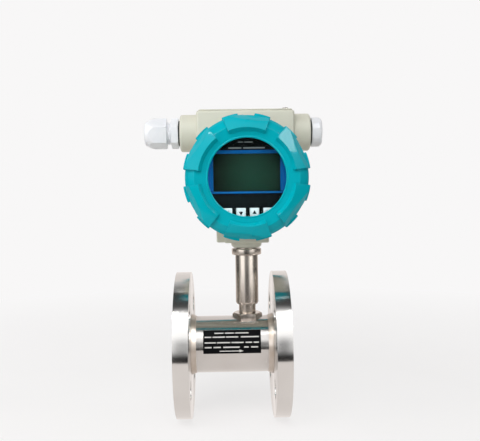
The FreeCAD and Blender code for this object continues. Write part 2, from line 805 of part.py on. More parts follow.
def gland_body():
    """Hexagonal flange with a thread into the housing and a thread for the dome nut."""
    out = X * -1
    face = gland_place() + out * seal_thickness
    corner = gland_flats / math.sqrt(3)
    flange_part = hexagon(gland_flats, gland_flange, face, out, gland_turn)
    flange_part = flange_part.common(cylinder(corner - gland_corner, gland_flange, face, out))
    inner_thread = cylinder(entry_thread / 2, gland_inner_thread, face, X)
    reach = gland_flange + gland_thread_seen + gland_thread_hidden
    outer_thread = cylinder(gland_thread / 2, reach, face, out)
    whole = flange_part.fuse([inner_thread, outer_thread]).removeSplitter()
    seat = cylinder(insert_diameter / 2 + face_play, insert_length, face + out * gland_flange, out)
    through = cylinder(insert_bore / 2 + shaft_clearance, gland_inner_thread + reach,
                       face + X * gland_inner_thread, out)
    return whole.cut(Part.makeCompound([seat, through]))


def gland_insert():
    """Rubber sleeve that the dome nut squeezes round a cable."""
    out = X * -1
    base = gland_place() + out * (seal_thickness + gland_flange + face_play)
    wide = insert_diameter / 2
    inner = insert_bore / 2
    profile = [(inner, 0), (wide, 0), (wide, insert_length - insert_taper),
               (wide - insert_taper / 4, insert_length), (inner, insert_length)]
    return turned(profile, out, base)


def dome_nut():
    """Hexagonal nut whose end narrows to a round mouth."""
    out = X * -1
    base = gland_place() + out * (seal_thickness + gland_flange + gland_thread_seen)
    corner = dome_flats / math.sqrt(3)
    whole = dome_length + dome_taper
    end = dome_end / 2
    prism = hexagon(dome_flats, whole, base, out, gland_turn)
    mantle = turned([(0, 0), (corner - gland_corner, 0), (corner, gland_corner), (corner, dome_length),
                     (end, whole - dome_lip), (end - 0.8 * dome_lip, whole), (0, whole)], out, base)
    thread_r = gland_thread / 2 + turn_play
    thread_end = dome_length - dome_seat / 2
    thread = cylinder(thread_r, thread_end, base, out)
    seat = Part.makeCone(thread_r, dome_mouth / 2, dome_seat, base + out * thread_end, out)
    mouth_bore = cylinder(dome_mouth / 2, whole, base, out)
    room = cylinder(insert_diameter / 2 + face_play, dome_length, base, out)
    return prism.common(mantle).cut(Part.makeCompound([thread, seat, mouth_bore, room]))


def blanking_plug():
    """Screwed plug, its rim round with six shallow flats."""
    face = plug_place() + X * seal_thickness
    wide = plug_diameter / 2
    head_part = hexagon(2 * (wide - plug_flat_depth), plug_length, face, X, plug_turn)
    mantle = turned([(0, 0), (wide, 0), (wide, plug_length - 2 * plug_round),
                     (wide - 0.35 * plug_round, plug_length - 0.6 * plug_round),
                     (wide - 1.4 * plug_round, plug_length), (0, plug_length)], X, face)
    thread = cylinder(entry_thread / 2, plug_thread_length + seal_thickness, face, X * -1)
    return head_part.common(mantle).fuse(thread).removeSplitter()


def name_plate():
    """Thin plate bent round the front of the tube."""
    turn = math.degrees(plate_height / (tube_r + plate_thickness))
    start = length / 2 + plate_shift - plate_width / 2
    profile = [(tube_r, 0), (tube_r + plate_thickness, 0), (tube_r + plate_thickness, plate_width),
               (tube_r, plate_width)]
    plate = turned(profile, X, V(start, 0, 0), turn)
    plate.rotate(V(0, 0, 0), X, 90 - turn / 2 - plate_turn)
    return plate


os.makedirs("parts", exist_ok=True)

save("body_tube", body_tube())
save("inlet_flange", flange(0, 1))
save("outlet_flange", flange(length, -1))
save("inlet_weld", weld_ring(0, 1))
save("outlet_weld", weld_ring(length, -1))
save("name_plate", name_plate())

inlet_end = ring_inset + ring_width + seat_play
outlet_end = length - inlet_end
save("upstream_guide", guide(upstream_face, -1, inlet_end, upstream_nose))
save("downstream_guide", guide(downstream_face, 1, outlet_end, downstream_nose))
save("inlet_retaining_ring", retaining_ring(ring_inset))
save("outlet_retaining_ring", retaining_ring(length - ring_inset - ring_width))
save("bearing_bushes", bush(upstream_face, -1), bush(downstream_face, 1))
save("thrust_rings", thrust_ring(upstream_face, 1), thrust_ring(downstream_face, -1))
save("rotor", rotor())
save("rotor_shaft", rotor_shaft())

save("pickup_boss", pickup_boss())
save("pickup", pickup())
save("stem_sleeve", stem_sleeve())
save("lock_collar", lock_collar())

save("housing", housing())
save("top_plate", top_plate())
save("top_screws", *[screw(place + Z * top_plate_thickness, Z, top_screw_shank,
                           top_screw_length - screw_end_gap, top_screw_head, top_screw_head_height)
                     for place in top_screw_places()])
save("ground_screw", screw(ground_screw_place(), Y, top_screw_shank, top_screw_length - screw_end_gap,
                           ground_screw_head, top_screw_head_height))

save("front_cover", cover(Y * -1, True))
save("front_seal", cover_seal(Y * -1))
save("rear_cover", cover(Y, False))
save("rear_seal", cover_seal(Y))
save("window_glass", cylinder(glass_r, glass_thickness, head - Y * pocket_end, Y))
save("window_seal", tube(glass_r, glass_r - glass_ring_wall, glass_seal_thickness,
                         head - Y * glass_back, Y))
save("window_ring", glass_ring())

save("face_plate", face_plate())
save("lcd_module", lcd())
key_names = ["left_key", "down_key", "up_key", "right_key"]
for name, place in zip(key_names, key_places):
    save(name, key(place))
save("display_board", display_board())
save("display_posts", *display_posts())
save("display_screws", *[screw(post_place(x, z) - Y * (board_front - partition_front), Y * -1,
                               small_screw - screw_play, small_screw_reach, small_head, small_head_height)
                         for x, z in corner_signs])
save("terminal_block", terminal_block())
save("terminal_screws", *terminal_screws())

save("gland_seal", entry_seal(gland_place(), X * -1))
save("gland_body", gland_body())
save("gland_insert", gland_insert())
save("gland_nut", dome_nut())
save("plug_seal", entry_seal(plug_place(), X))
save("blanking_plug", blanking_plug())
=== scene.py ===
import bpy
import math
from mathutils import Matrix, Vector


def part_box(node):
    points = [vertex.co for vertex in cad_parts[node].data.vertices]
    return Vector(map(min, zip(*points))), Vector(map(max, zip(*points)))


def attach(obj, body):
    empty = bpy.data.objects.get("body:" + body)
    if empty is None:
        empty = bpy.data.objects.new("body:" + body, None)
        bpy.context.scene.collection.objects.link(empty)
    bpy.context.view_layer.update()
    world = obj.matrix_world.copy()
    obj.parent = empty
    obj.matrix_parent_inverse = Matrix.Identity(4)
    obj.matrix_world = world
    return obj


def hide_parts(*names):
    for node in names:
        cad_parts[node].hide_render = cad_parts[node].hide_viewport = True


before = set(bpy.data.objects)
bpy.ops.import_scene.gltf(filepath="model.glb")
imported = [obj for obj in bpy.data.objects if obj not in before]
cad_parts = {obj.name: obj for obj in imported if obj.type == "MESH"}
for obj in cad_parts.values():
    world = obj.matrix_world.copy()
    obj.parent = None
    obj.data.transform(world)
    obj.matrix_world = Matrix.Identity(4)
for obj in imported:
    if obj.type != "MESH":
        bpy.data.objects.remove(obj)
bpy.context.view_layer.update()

# Sizes are in millimetres and become metres where a mesh is made.
# X is along the flow, Z is up, and the display faces -Y.
mm = 0.001
axisX = Vector((1, 0, 0))
axisY = Vector((0, 1, 0))
axisZ = Vector((0, 0, 1))


def nodeBox(name):
    low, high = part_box(name)
    return low / mm, high / mm


# Places that several pieces share, read from the frame
inletFace = nodeBox("inlet_flange")[0].x
outletFace = nodeBox("outlet_flange")[1].x
castingLow, castingHigh = nodeBox("housing")
collarLow, collarHigh = nodeBox("lock_collar")
sleeveLow, sleeveHigh = nodeBox("stem_sleeve")
frontLow, frontHigh = nodeBox("front_cover")
stemX = (sleeveLow.x + sleeveHigh.x) / 2
headZ = (frontLow.z + frontHigh.z) / 2
head = Vector((stemX, 0, headZ))
stem = Vector((stemX, 0, 0))
flowAxis = Vector((0, 0, 0))
entryDrop = 19.5
entryAxis = Vector((stemX, 0, castingHigh.z - entryDrop))
# tools reach this far past what they cut
past = 1.0


# Modelling helpers

def chooseOnly(piece):
    bpy.ops.object.select_all(action="DESELECT")
    piece.select_set(True)
    bpy.context.view_layer.objects.active = piece


def applyPlace(piece):
    chooseOnly(piece)
    bpy.ops.object.transform_apply(location=True, rotation=True, scale=True)
    return piece


def pickVertices(piece, wanted):
    # leaves the piece in edit mode with only the wanted vertices chosen
    chooseOnly(piece)
    bpy.ops.object.mode_set(mode="EDIT")
    bpy.ops.mesh.select_mode(type="VERT")
    bpy.ops.mesh.select_all(action="DESELECT")
    bpy.ops.object.mode_set(mode="OBJECT")
    for vertex in piece.data.vertices:
        vertex.select = wanted(vertex)
    bpy.ops.object.mode_set(mode="EDIT")


def editAll(piece):
    chooseOnly(piece)
    bpy.ops.object.mode_set(mode="EDIT")
    bpy.ops.mesh.select_all(action="SELECT")


def cleanShell(piece):
    editAll(piece)
    bpy.ops.mesh.remove_doubles(threshold=0.001 * mm)
    bpy.ops.mesh.normals_make_consistent(inside=False)
    bpy.ops.object.mode_set(mode="OBJECT")
    return piece


def ringOutline(inner, outer, start, end):
    # outline of a plain ring, or of a disc where inner is 0
    return [(inner, start), (outer, start), (outer, end), (inner, end)]


def turned(name, profile, place, axis, segments=128, angle=360.0):
    # lathe: the profile's points are (radius, distance along the axis)
    side = axisZ if abs(axis.z) < 0.5 else axisX
    points = [(place + side * radius + axis * along) * mm for radius, along in profile]
    bpy.ops.object.select_all(action="DESELECT")
    bpy.ops.mesh.primitive_plane_add(size=mm)
    piece = bpy.context.object
    piece.name = name
    bpy.ops.object.mode_set(mode="EDIT")
    bpy.ops.mesh.select_mode(type="VERT")
    bpy.ops.mesh.select_all(action="SELECT")
    bpy.ops.mesh.merge(type="CENTER")
    bpy.ops.transform.translate(value=points[0])
    for near, far in zip(points, points[1:]):
        bpy.ops.mesh.extrude_region_move(TRANSFORM_OT_translate={"value": far - near})
    bpy.ops.object.mode_set(mode="OBJECT")
    poles = [radius for radius, along in profile if radius < 0.001]
    if angle < 360:
        # a sector starts as a filled outline, so that its ends are closed
        pickVertices(piece, lambda vertex: True)
        bpy.ops.mesh.edge_face_add()
    elif not poles:
        last = len(points) - 1
        pickVertices(piece, lambda vertex: vertex.index in (0, last))
        bpy.ops.mesh.edge_face_add()
    else:
        bpy.ops.object.mode_set(mode="EDIT")
    bpy.ops.mesh.select_all(action="SELECT")
    # the spin tool turns left-handed, so its axis is reversed
    bpy.ops.mesh.spin(steps=segments, angle=math.radians(angle), center=place * mm, axis=-axis)
    bpy.ops.object.mode_set(mode="OBJECT")
    return cleanShell(piece)


def turnAbout(piece, place, axis, degrees):
    there = Matrix.Translation(place * mm)
    piece.matrix_world = (there @ Matrix.Rotation(math.radians(degrees), 4, axis)
                          @ there.inverted() @ piece.matrix_world)
    return applyPlace(piece)


def copyOf(piece):
    chooseOnly(piece)
    bpy.ops.object.duplicate()
    return bpy.context.object


def ringOf(piece, count, place, axis):
    # the piece and its copies, evenly round an axis
    ring = [piece]
    for k in range(1, count):
        ring.append(turnAbout(copyOf(piece), place, axis, 360.0 * k / count))
    return ring


def joinAll(name, parts):
    bpy.ops.object.select_all(action="DESELECT")
    for part in parts:
        part.select_set(True)
    bpy.context.view_layer.objects.active = parts[0]
    if len(parts) > 1:
        bpy.ops.object.join()
    parts[0].name = name
    return parts[0]


def block(name, low, high):
    low, high = Vector(low), Vector(high)
    bpy.ops.object.select_all(action="DESELECT")
    bpy.ops.mesh.primitive_cube_add(size=1, location=(low + high) / 2 * mm)
    piece = bpy.context.object
    piece.name = name
    piece.scale = (high - low) * mm
    return applyPlace(piece)


def prism(name, sides, flats, height, place, axis, turn=0.0):
    # regular prism measured across its flats, one corner up (or towards +X when it stands)
    start = axisZ if abs(axis.z) < 0.5 else axisX
    bpy.ops.object.select_all(action="DESELECT")
    corner = flats / 2 / math.cos(math.pi / sides)
    bpy.ops.mesh.primitive_cylinder_add(vertices=sides, radius=corner * mm, depth=height * mm)
    piece = bpy.context.object
    piece.name = name
    facing = Matrix((start.cross(axis), start, axis)).transposed().to_4x4()
    piece.matrix_world = (Matrix.Translation((place + axis * height / 2) * mm)
                          @ Matrix.Rotation(math.radians(turn), 4, axis) @ facing)
    return applyPlace(piece)


def runModifier(piece, kind, settings):
    chooseOnly(piece)
    modifier = piece.modifiers.new(kind.title(), kind)
    for name, value in settings.items():
        setattr(modifier, name, value)
    bpy.ops.object.modifier_apply(modifier=modifier.name)
    return piece


def carved(piece, tool, operation="DIFFERENCE"):
    # cuts, meets or unites the piece with a tool, which is then removed
    runModifier(piece, "BOOLEAN", {"operation": operation, "solver": "EXACT", "object": tool})
    bpy.data.objects.remove(tool)
    return piece


def rounded(piece, width, segments=3, angle=30.0):
    return runModifier(piece, "BEVEL", {"width": width * mm, "segments": segments,
                                        "limit_method": "ANGLE", "angle_limit": math.radians(angle)})


def smoothed(piece, angle=32.0):
    chooseOnly(piece)
    bpy.ops.object.shade_smooth_by_angle(angle=math.radians(angle))
    return piece


def fitted(piece, body, slotName, material, *nodes):
    # gives a finished piece its material, its body and the CAD nodes that it stands for
    piece.data.materials.clear()
    piece.data.materials.append(material)
    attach(piece, body)
    if nodes:
        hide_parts(*nodes)
    return piece


# Material helpers

def linearColor(hexCode):
    channels = [int(hexCode[k:k + 2], 16) / 255 for k in (1, 3, 5)]
    return tuple(c / 12.92 if c <= 0.04045 else ((c + 0.055) / 1.055) ** 2.4 for c in channels) + (1.0,)


def addNode(tree, kind, settings=None, inputs=None):
    node = tree.nodes.new(kind)
    for name, value in (settings or {}).items():
        setattr(node, name, value)
    for name, value in (inputs or {}).items():
        if isinstance(value, bpy.types.NodeSocket):
            tree.links.new(value, node.inputs[name])
        else:
            node.inputs[name].default_value = value
    return node


def newMaterial(name, color, metallic=0.0, roughness=0.5, **sockets):
    material = bpy.data.materials.new(name)
    material.use_nodes = True
    tree = material.node_tree
    shader = tree.nodes["Principled BSDF"]
    shader.inputs["Base Color"].default_value = linearColor(color)
    shader.inputs["Metallic"].default_value = metallic
    shader.inputs["Roughness"].default_value = roughness
    for socket, value in sockets.items():
        shader.inputs[socket.replace("_", " ")].default_value = value
    coords = addNode(tree, "ShaderNodeTexCoord").outputs["Object"]
    return material, tree, shader, coords


def blendColors(tree, factor, first, second):
    mix = addNode(tree, "ShaderNodeMix", {"data_type": "RGBA"})
    tree.links.new(factor, mix.inputs[0])
    for socket, color in ((mix.inputs[6], first), (mix.inputs[7], second)):
        if isinstance(color, bpy.types.NodeSocket):
            tree.links.new(color, socket)
        else:
            socket.default_value = linearColor(color)
    return mix.outputs[2]


def spread(tree, value, low, high, start=0.3, end=0.7):
    # maps a noise's middle range onto low..high
    return addNode(tree, "ShaderNodeMapRange", inputs={
        "Value": value, "From Min": start, "From Max": end, "To Min": low, "To Max": high}).outputs[0]


def mathOf(tree, operation, first, second=0.0):
    node = addNode(tree, "ShaderNodeMath", {"operation": operation})
    for socket, value in ((node.inputs[0], first), (node.inputs[1], second)):
        if isinstance(value, bpy.types.NodeSocket):
            tree.links.new(value, socket)
        else:
            socket.default_value = value
    return node.outputs[0]


def noiseOf(tree, vector, sizeMm, detail=3.0, **settings):
    # noise whose features are about sizeMm across
    return addNode(tree, "ShaderNodeTexNoise", settings, {
        "Vector": vector, "Scale": 1 / (sizeMm * mm), "Detail": detail}).outputs["Fac"]


def centredOn(tree, coords, place):
    # the same pattern space, measured from a place on the object
    return addNode(tree, "ShaderNodeMapping", inputs={
        "Vector": coords, "Location": tuple(-value * mm for value in place)}).outputs["Vector"]


def lineNoise(tree, value, sizeMm, detail=2.0):
    # one-dimensional noise along a distance in metres, for tool marks
    return addNode(tree, "ShaderNodeTexNoise", {"noise_dimensions": "1D"}, {
        "W": value, "Scale": 1 / (sizeMm * mm), "Detail": detail}).outputs["Fac"]


def distances(tree, coords, axis):
    # distance from an axis through the pattern's centre, and distance along it
    parts = addNode(tree, "ShaderNodeSeparateXYZ", inputs={0: coords})
    index = "XYZ".index(axis)
    across = [k for k in range(3) if k != index]
    squares = [mathOf(tree, "POWER", parts.outputs[k], 2.0) for k in across]
    radius = mathOf(tree, "SQRT", mathOf(tree, "ADD", squares[0], squares[1]))
    return radius, parts.outputs[index]


def bumped(tree, shader, height, strength, depthMm):
    bump = addNode(tree, "ShaderNodeBump", inputs={
        "Height": height, "Strength": strength, "Distance": depthMm * mm})
    tree.links.new(bump.outputs["Normal"], shader.inputs["Normal"])
    return bump


def finishColor(tree, shader, factor, first, second):
    tree.links.new(blendColors(tree, factor, first, second), shader.inputs["Base Color"])


def finishRoughness(tree, shader, value):
    tree.links.new(value, shader.inputs["Roughness"])


def mottled(name, color, other, metallic, roughness, tintMm, tintDetail, sheenMm, sheen, grain, **sockets):
    # a surface whose colour and sheen wander in soft patches; sheen is how far the roughness strays,
    # and grain is the size, strength and depth of a fine relief
    material, tree, shader, coords = newMaterial(name, color, metallic, roughness, **sockets)
    patches = spread(tree, noiseOf(tree, coords, tintMm, tintDetail), 0.0, 1.0)
    finishColor(tree, shader, patches, color, other)
    finishRoughness(tree, shader, spread(tree, noiseOf(tree, coords, sheenMm), roughness + sheen[0],
                                         roughness + sheen[1]))
    if grain:
        size, strength, depth = grain
        bumped(tree, shader, noiseOf(tree, coords, size, 2.0), strength, depth)
    return material


# Materials

def lathedSteel(name, color, other, roughness, axis, centre, lineMm, depthMm, cloud, stretch):
    # Stainless steel turned on a lathe: fine rings round the axis, which stretch every reflection
    # across them, and faint clouds where it was handled
    material, tree, shader, coords = newMaterial(name, color, 1.0, roughness, Anisotropic=stretch,
                                                 Anisotropic_Rotation=0.25)
    place = centredOn(tree, coords, centre)
    direction = tuple(float(letter == axis) for letter in "XYZ")
    around = addNode(tree, "ShaderNodeVectorMath", {"operation": "CROSS_PRODUCT"}, {0: place, 1: direction})
    tree.links.new(around.outputs[0], shader.inputs["Tangent"])
    radius, along = distances(tree, place, axis)
    travel = mathOf(tree, "ADD", radius, along)
    rings = lineNoise(tree, travel, lineMm)
    clouds = noiseOf(tree, place, 24.0)
    finishRoughness(tree, shader, mathOf(
        tree, "ADD", spread(tree, clouds, roughness - cloud, roughness + cloud),
        spread(tree, rings, -0.02, 0.03)))
    tint = spread(tree, noiseOf(tree, place, 40.0, 2.0), 0.0, 1.0)
    finishColor(tree, shader, tint, color, other)
    bumped(tree, shader, rings, 0.35, depthMm)
    return material


flangeSteel = lathedSteel("flangeSteel", "#DCDBD9", "#D5D3D1", 0.2, "X", flowAxis, 0.5, 0.0015, 0.03, 1.0)
tubeSteel = lathedSteel("tubeSteel", "#D2D0CE", "#CAC7C4", 0.22, "X", flowAxis, 0.35, 0.0015, 0.025, 0.95)
stemSteel = lathedSteel("stemSteel", "#D0C7BE", "#C6BDB3", 0.2, "Z", stem, 0.3, 0.001, 0.02, 0.9)
rotorSteel = lathedSteel("rotorSteel", "#B9B5AF", "#AAA6A0", 0.3, "X", flowAxis, 0.4, 0.004, 0.04, 0.5)


def weldSteel():
    # TIG weld in stainless: overlapping ripples round the tube, straw and grey heat tint
    material, tree, shader, coords = newMaterial("weldSteel", "#B8AFA5", 1.0, 0.38)
    parts = addNode(tree, "ShaderNodeSeparateXYZ", inputs={0: coords})
    turn = mathOf(tree, "ARCTAN2", parts.outputs[2], parts.outputs[1])
    wander = spread(tree, noiseOf(tree, coords, 6.0), -0.05, 0.05)
    ripples = mathOf(tree, "ABSOLUTE", mathOf(tree, "SINE", mathOf(
        tree, "MULTIPLY", mathOf(tree, "ADD", turn, wander), 62.0)))
    tint = spread(tree, noiseOf(tree, coords, 9.0), 0.0, 1.0)
    finishColor(tree, shader, tint, "#B5A99C", "#C6BEB7")
    finishRoughness(tree, shader, spread(tree, ripples, 0.26, 0.42, 0.0, 1.0))
    bumped(tree, shader, ripples, 0.25, 0.08)
    return material


weldBead = weldSteel()


def paint(name, color, deep, roughness, grainMm, grainDepth, coat, mirror):
    # Sprayed enamel on a casting: an even colour, orange peel, slightly deeper in patches
    return mottled(name, color, deep, 0.0, roughness, 30.0, 3.0, 12.0, (-0.03, 0.04),
                   (grainMm, 0.25, grainDepth), Coat_Weight=coat, Coat_Roughness=0.04,
                   Specular_IOR_Level=mirror)


# Gloss teal enamel on the screwed covers: bright, wet-looking edges
tealEnamel = paint("tealEnamel", "#00ACBA", "#00A8B6", 0.3, 1.6, 0.02, 0.2, 0.03)
# Cream powder coat on the head casting: satin, with a finer grain
creamCoat = paint("creamCoat", "#D4D3C4", "#CECDBE", 0.4, 0.9, 0.02, 0.05, 0.25)
# White glass-filled nylon of the gland and the plug: satin, a little light gets into it
nylon = mottled("mouldedNylon", "#F1F2F5", "#E6E8EC", 0.0, 0.34, 14.0, 3.0, 5.0, (-0.04, 0.08),
                (0.5, 0.2, 0.015), Subsurface_Weight=0.12, Subsurface_Scale=0.002,
                Subsurface_Radius=(1.0, 0.9, 0.8))


def sealRubber():
    # Black nitrile rubber: soft sheen, grey bloom in patches
    material, tree, shader, coords = newMaterial("sealRubber", "#1B1B1D", 0.0, 0.55)
    bloom = spread(tree, noiseOf(tree, coords, 4.0), 0.0, 1.0)
    finishColor(tree, shader, bloom, "#161618", "#2A2A2D")
    finishRoughness(tree, shader, spread(tree, bloom, 0.48, 0.66, 0.0, 1.0))
    bumped(tree, shader, noiseOf(tree, coords, 0.3, 2.0), 0.3, 0.02)
    return material


rubber = sealRubber()


def zincSteel(name, color, roughness):
    # Small plated screws and spacers: bright, faintly mottled plating
    return mottled(name, color, "#A9A59C", 1.0, roughness, 1.6, 3.0, 0.8, (-0.06, 0.08), None)


screwZinc = zincSteel("screwZinc", "#C9C6C0", 0.28)
postBrass = zincSteel("postBrass", "#C7A35A", 0.3)
bearingSteel = zincSteel("bearingSteel", "#7F8288", 0.22)


def windowGlass():
    # Toughened glass: clear, its edge faintly green
    material, tree, shader, coords = newMaterial("windowGlass", "#F4FBF8", 0.0, 0.02, IOR=1.45,
                                                 Transmission_Weight=1.0,
                                                 Specular_Tint=(0.06, 0.06, 0.06, 1))
    finishRoughness(tree, shader, spread(tree, noiseOf(tree, coords, 18.0), 0.01, 0.035))
    return material


clearGlass = windowGlass()


def printedBlack(name, color, other, roughness, grainMm):
    # Screen-printed plastic or anodised plate: near black, dust-fine grain
    return mottled(name, color, other, 0.0, roughness, grainMm, 4.0, 8.0, (-0.05, 0.06), None,
                   Specular_IOR_Level=0.03)


displayFront = -41.5
facePrint = printedBlack("facePrint", "#090F12", "#0C1215", 0.42, 0.6)
blueInk = printedBlack("blueInk", "#08589E", "#085092", 0.4, 1.0)
titleGrey = printedBlack("titleGrey", "#84898C", "#74797C", 0.5, 0.7)
plateBlack = printedBlack("plateBlack", "#0D0E10", "#151618", 0.4, 0.8)
plateSilver = printedBlack("plateSilver", "#E4E3E0", "#D6D5D2", 0.4, 0.5)
arrowInk = printedBlack("arrowInk", "#14181C", "#1C2126", 0.45, 0.6)
ringBlack = printedBlack("ringBlack", "#141517", "#1C1D20", 0.4, 1.2)
terminalGreen = printedBlack("terminalGreen", "#2F7A4C", "#2A6E45", 0.45, 2.0)


def liquidCrystal():
    # Unlit reflective liquid crystal: deep green, with a soft painted pool of light right of the middle
    material, tree, shader, coords = newMaterial("liquidCrystal", "#1B3B2C", 0.0, 0.3,
                                                 Specular_IOR_Level=0.08)
    place = centredOn(tree, coords, head + Vector((8, displayFront, 4)))
    away = addNode(tree, "ShaderNodeVectorMath", {"operation": "LENGTH"}, {0: place}).outputs["Value"]
    # painted pool of light: the colour lightens towards a spot right of the display's middle
    paintedLightPool = spread(tree, away, 1.0, 0.0, 0.008, 0.036)
    finishColor(tree, shader, paintedLightPool, "#06140C", "#123026")
    finishRoughness(tree, shader, spread(tree, noiseOf(tree, coords, 10.0), 0.26, 0.34))
    return material


lcdGreen = liquidCrystal()


def keyFilm():
    # Silver-grey printed film over the keys: lightly pearly, fine texture
    material, tree, shader, coords = newMaterial("keyFilm", "#C3CBD3", 0.15, 0.4)
    fleck = spread(tree, noiseOf(tree, coords, 0.35, 3.0), 0.0, 1.0)
    finishColor(tree, shader, fleck, "#BCC4CD", "#CBD3DA")
    bumped(tree, shader, fleck, 0.2, 0.01)
    return material


keySilver = keyFilm()


def circuitBoard():
    # Green solder mask over copper: darker lanes where the tracks run
    material, tree, shader, coords = newMaterial("circuitBoard", "#1F5E3A", 0.0, 0.35)
    lanes = addNode(tree, "ShaderNodeTexVoronoi", {"distance": "MANHATTAN"}, {
        "Vector": coords, "Scale": 1 / (3.2 * mm), "Randomness": 0.6}).outputs["Distance"]
    finishColor(tree, shader, spread(tree, lanes, 0.0, 1.0, 0.25, 0.45), "#2C7548", "#184A2D")
    bumped(tree, shader, lanes, 0.3, 0.03)
    return material


boardGreen = circuitBoard()

print("Materials made:", len(bpy.data.materials))


# Flow line

flangeLook = {"segments": 192, "boltHole": 18.0, "boltCircle": 100.0, "boltCount": 4, "bore": 32.0,
              "raisedFace": 78.0, "raisedHeight": 2.0, "rim": 140.0, "thickness": 14.0,
              "holeEdge": 0.6, "tube": 54.0, "socket": 10.0}


def makeFlange(name, face, inward, node):
    axis = axisX * inward
    place = Vector((face, 0, 0))
    look = flangeLook
    rim, back = look["rim"] / 2, look["raisedHeight"] + look["thickness"]
    bore, tube = look["bore"] / 2, look["tube"] / 2
    raised = look["raisedFace"] / 2
    profile = [(bore, 0), (raised, 0), (raised, look["raisedHeight"]), (rim, look["raisedHeight"]),
               (rim, back), (tube, back), (tube, back - look["socket"]), (bore, back - look["socket"])]
    piece = turned(name, profile, place, axis, look["segments"])
    start = place - axis * 2 * past + axisY * look["boltCircle"] / 2
    hole = prism("boltHole", 64, look["boltHole"], back + 4 * past, start, axis)
    for tool in ringOf(hole, look["boltCount"], flowAxis, axisX):
        carved(piece, turnAbout(tool, flowAxis, axisX, 180 / look["boltCount"]))
    rounded(piece, look["holeEdge"], 3)
    smoothed(piece)
    return fitted(piece, "meter", "stainless", flangeSteel, node)


makeFlange("inletFlange", inletFace, 1, "inlet_flange")
makeFlange("outletFlange", outletFace, -1, "outlet_flange")

tubeLook = {"outer": 54.0, "inner": 32.0, "end": 6.0, "segments": 192, "pickupHole": 16.5, "floor": 18.2,
            "groove": 34.0, "grooveInset": 10.0, "grooveWidth": 1.5}


def makeTube():
    look = tubeLook
    start, end = inletFace + look["end"], outletFace - look["end"]
    outer, inner, groove = look["outer"] / 2, look["inner"] / 2, look["groove"] / 2
    inset, width = look["grooveInset"], look["grooveWidth"]
    nearGroove, farGroove = inletFace + inset, outletFace - inset - width
    profile = ringOutline(inner, outer, start, end)
    for near in (farGroove, nearGroove):
        profile += [(inner, near + width), (groove, near + width), (groove, near), (inner, near)]
    piece = turned("flowTube", profile, flowAxis, axisX, look["segments"])
    pocket = prism("pickupPocket", 48, look["pickupHole"], look["outer"], stem + axisZ * look["floor"], axisZ)
    carved(piece, pocket)
    smoothed(piece)
    return fitted(piece, "meter", "stainless", tubeSteel, "body_tube")


makeTube()

# the bead's slope is three straight facets: shares of its height and length where they meet
weldLook = {"height": 2.0, "length": 5.0, "segments": 240, "toe": 0.3, "sunk": 0.05,
            "facets": [(0.72, 0.35), (0.18, 0.85)]}


def makeWeld(name, face, inward, node):
    # a hollow fillet between flange and tube
    axis = axisX * inward
    place = Vector((face, 0, 0))
    tall, long = weldLook["height"], weldLook["length"]
    foot = flangeLook["raisedHeight"] + flangeLook["thickness"]
    tube = tubeLook["outer"] / 2 - weldLook["sunk"]
    profile = [(tube + high * tall, foot + along * long)
               for high, along in [(0, 0), (1, 0), *weldLook["facets"], (0, 1)]]
    piece = turned(name, profile, place, axis, weldLook["segments"])
    rounded(piece, weldLook["toe"], 3, 10)
    smoothed(piece, 60)
    return fitted(piece, "meter", "weld", weldBead, node)


makeWeld("inletWeld", inletFace, 1, "inlet_weld")
makeWeld("outletWeld", outletFace, -1, "outlet_weld")
print("Flow line done")


# Name plate

plateLook = {"width": 54.0, "height": 22.0, "thickness": 0.6, "turnUp": 16.0, "tube": 27.0, "print": 0.05}
# rows of bare dashes where the plate is filled in: height above the plate's middle, each dash's
# start and length along the row, and its thickness
plateRules = {"title": (7.9, [(-16.6, 8.6), (-6.6, 8.4), (3.0, 12.5)], 1.0),
              "first": (4.2, [(-25.6, 6.2), (-18.2, 11.6), (-5.6, 11.4), (8.2, 17.0)], 1.1),
              "second": (-0.9, [(-25.6, 10.4), (-14.2, 12.4), (-0.6, 11.3), (12.6, 6.0), (20.2, 4.8)], 1.1),
              "third": (-5.1, [(-25.6, 6.4), (-17.4, 6.8), (-8.4, 15.4), (11.2, 4.2), (17.6, 6.6)], 1.2)}
plateArrow = {"height": -8.6, "start": -11.8, "end": 10.7, "shaft": 0.8, "headLength": 4.0, "headWidth": 2.6,
              "slices": 14}


def plateAngle(heightOnPlate):
    # degrees round the tube from the front, for a height measured along the plate
    return plateLook["turnUp"] + math.degrees(heightOnPlate / plateLook["tube"])


def curvedStrip(name, start, end, low, high, inner, outer, steps):
    # a strip bent round the tube: x from start to end, height along the plate from low to high
    angle = plateAngle(high) - plateAngle(low)
    strip = turned(name, ringOutline(inner, outer, start, end), flowAxis, axisX, steps, angle)
    # the lathe starts straight up and turns towards the front
    return turnAbout(strip, flowAxis, axisX, 90 - plateAngle(high))


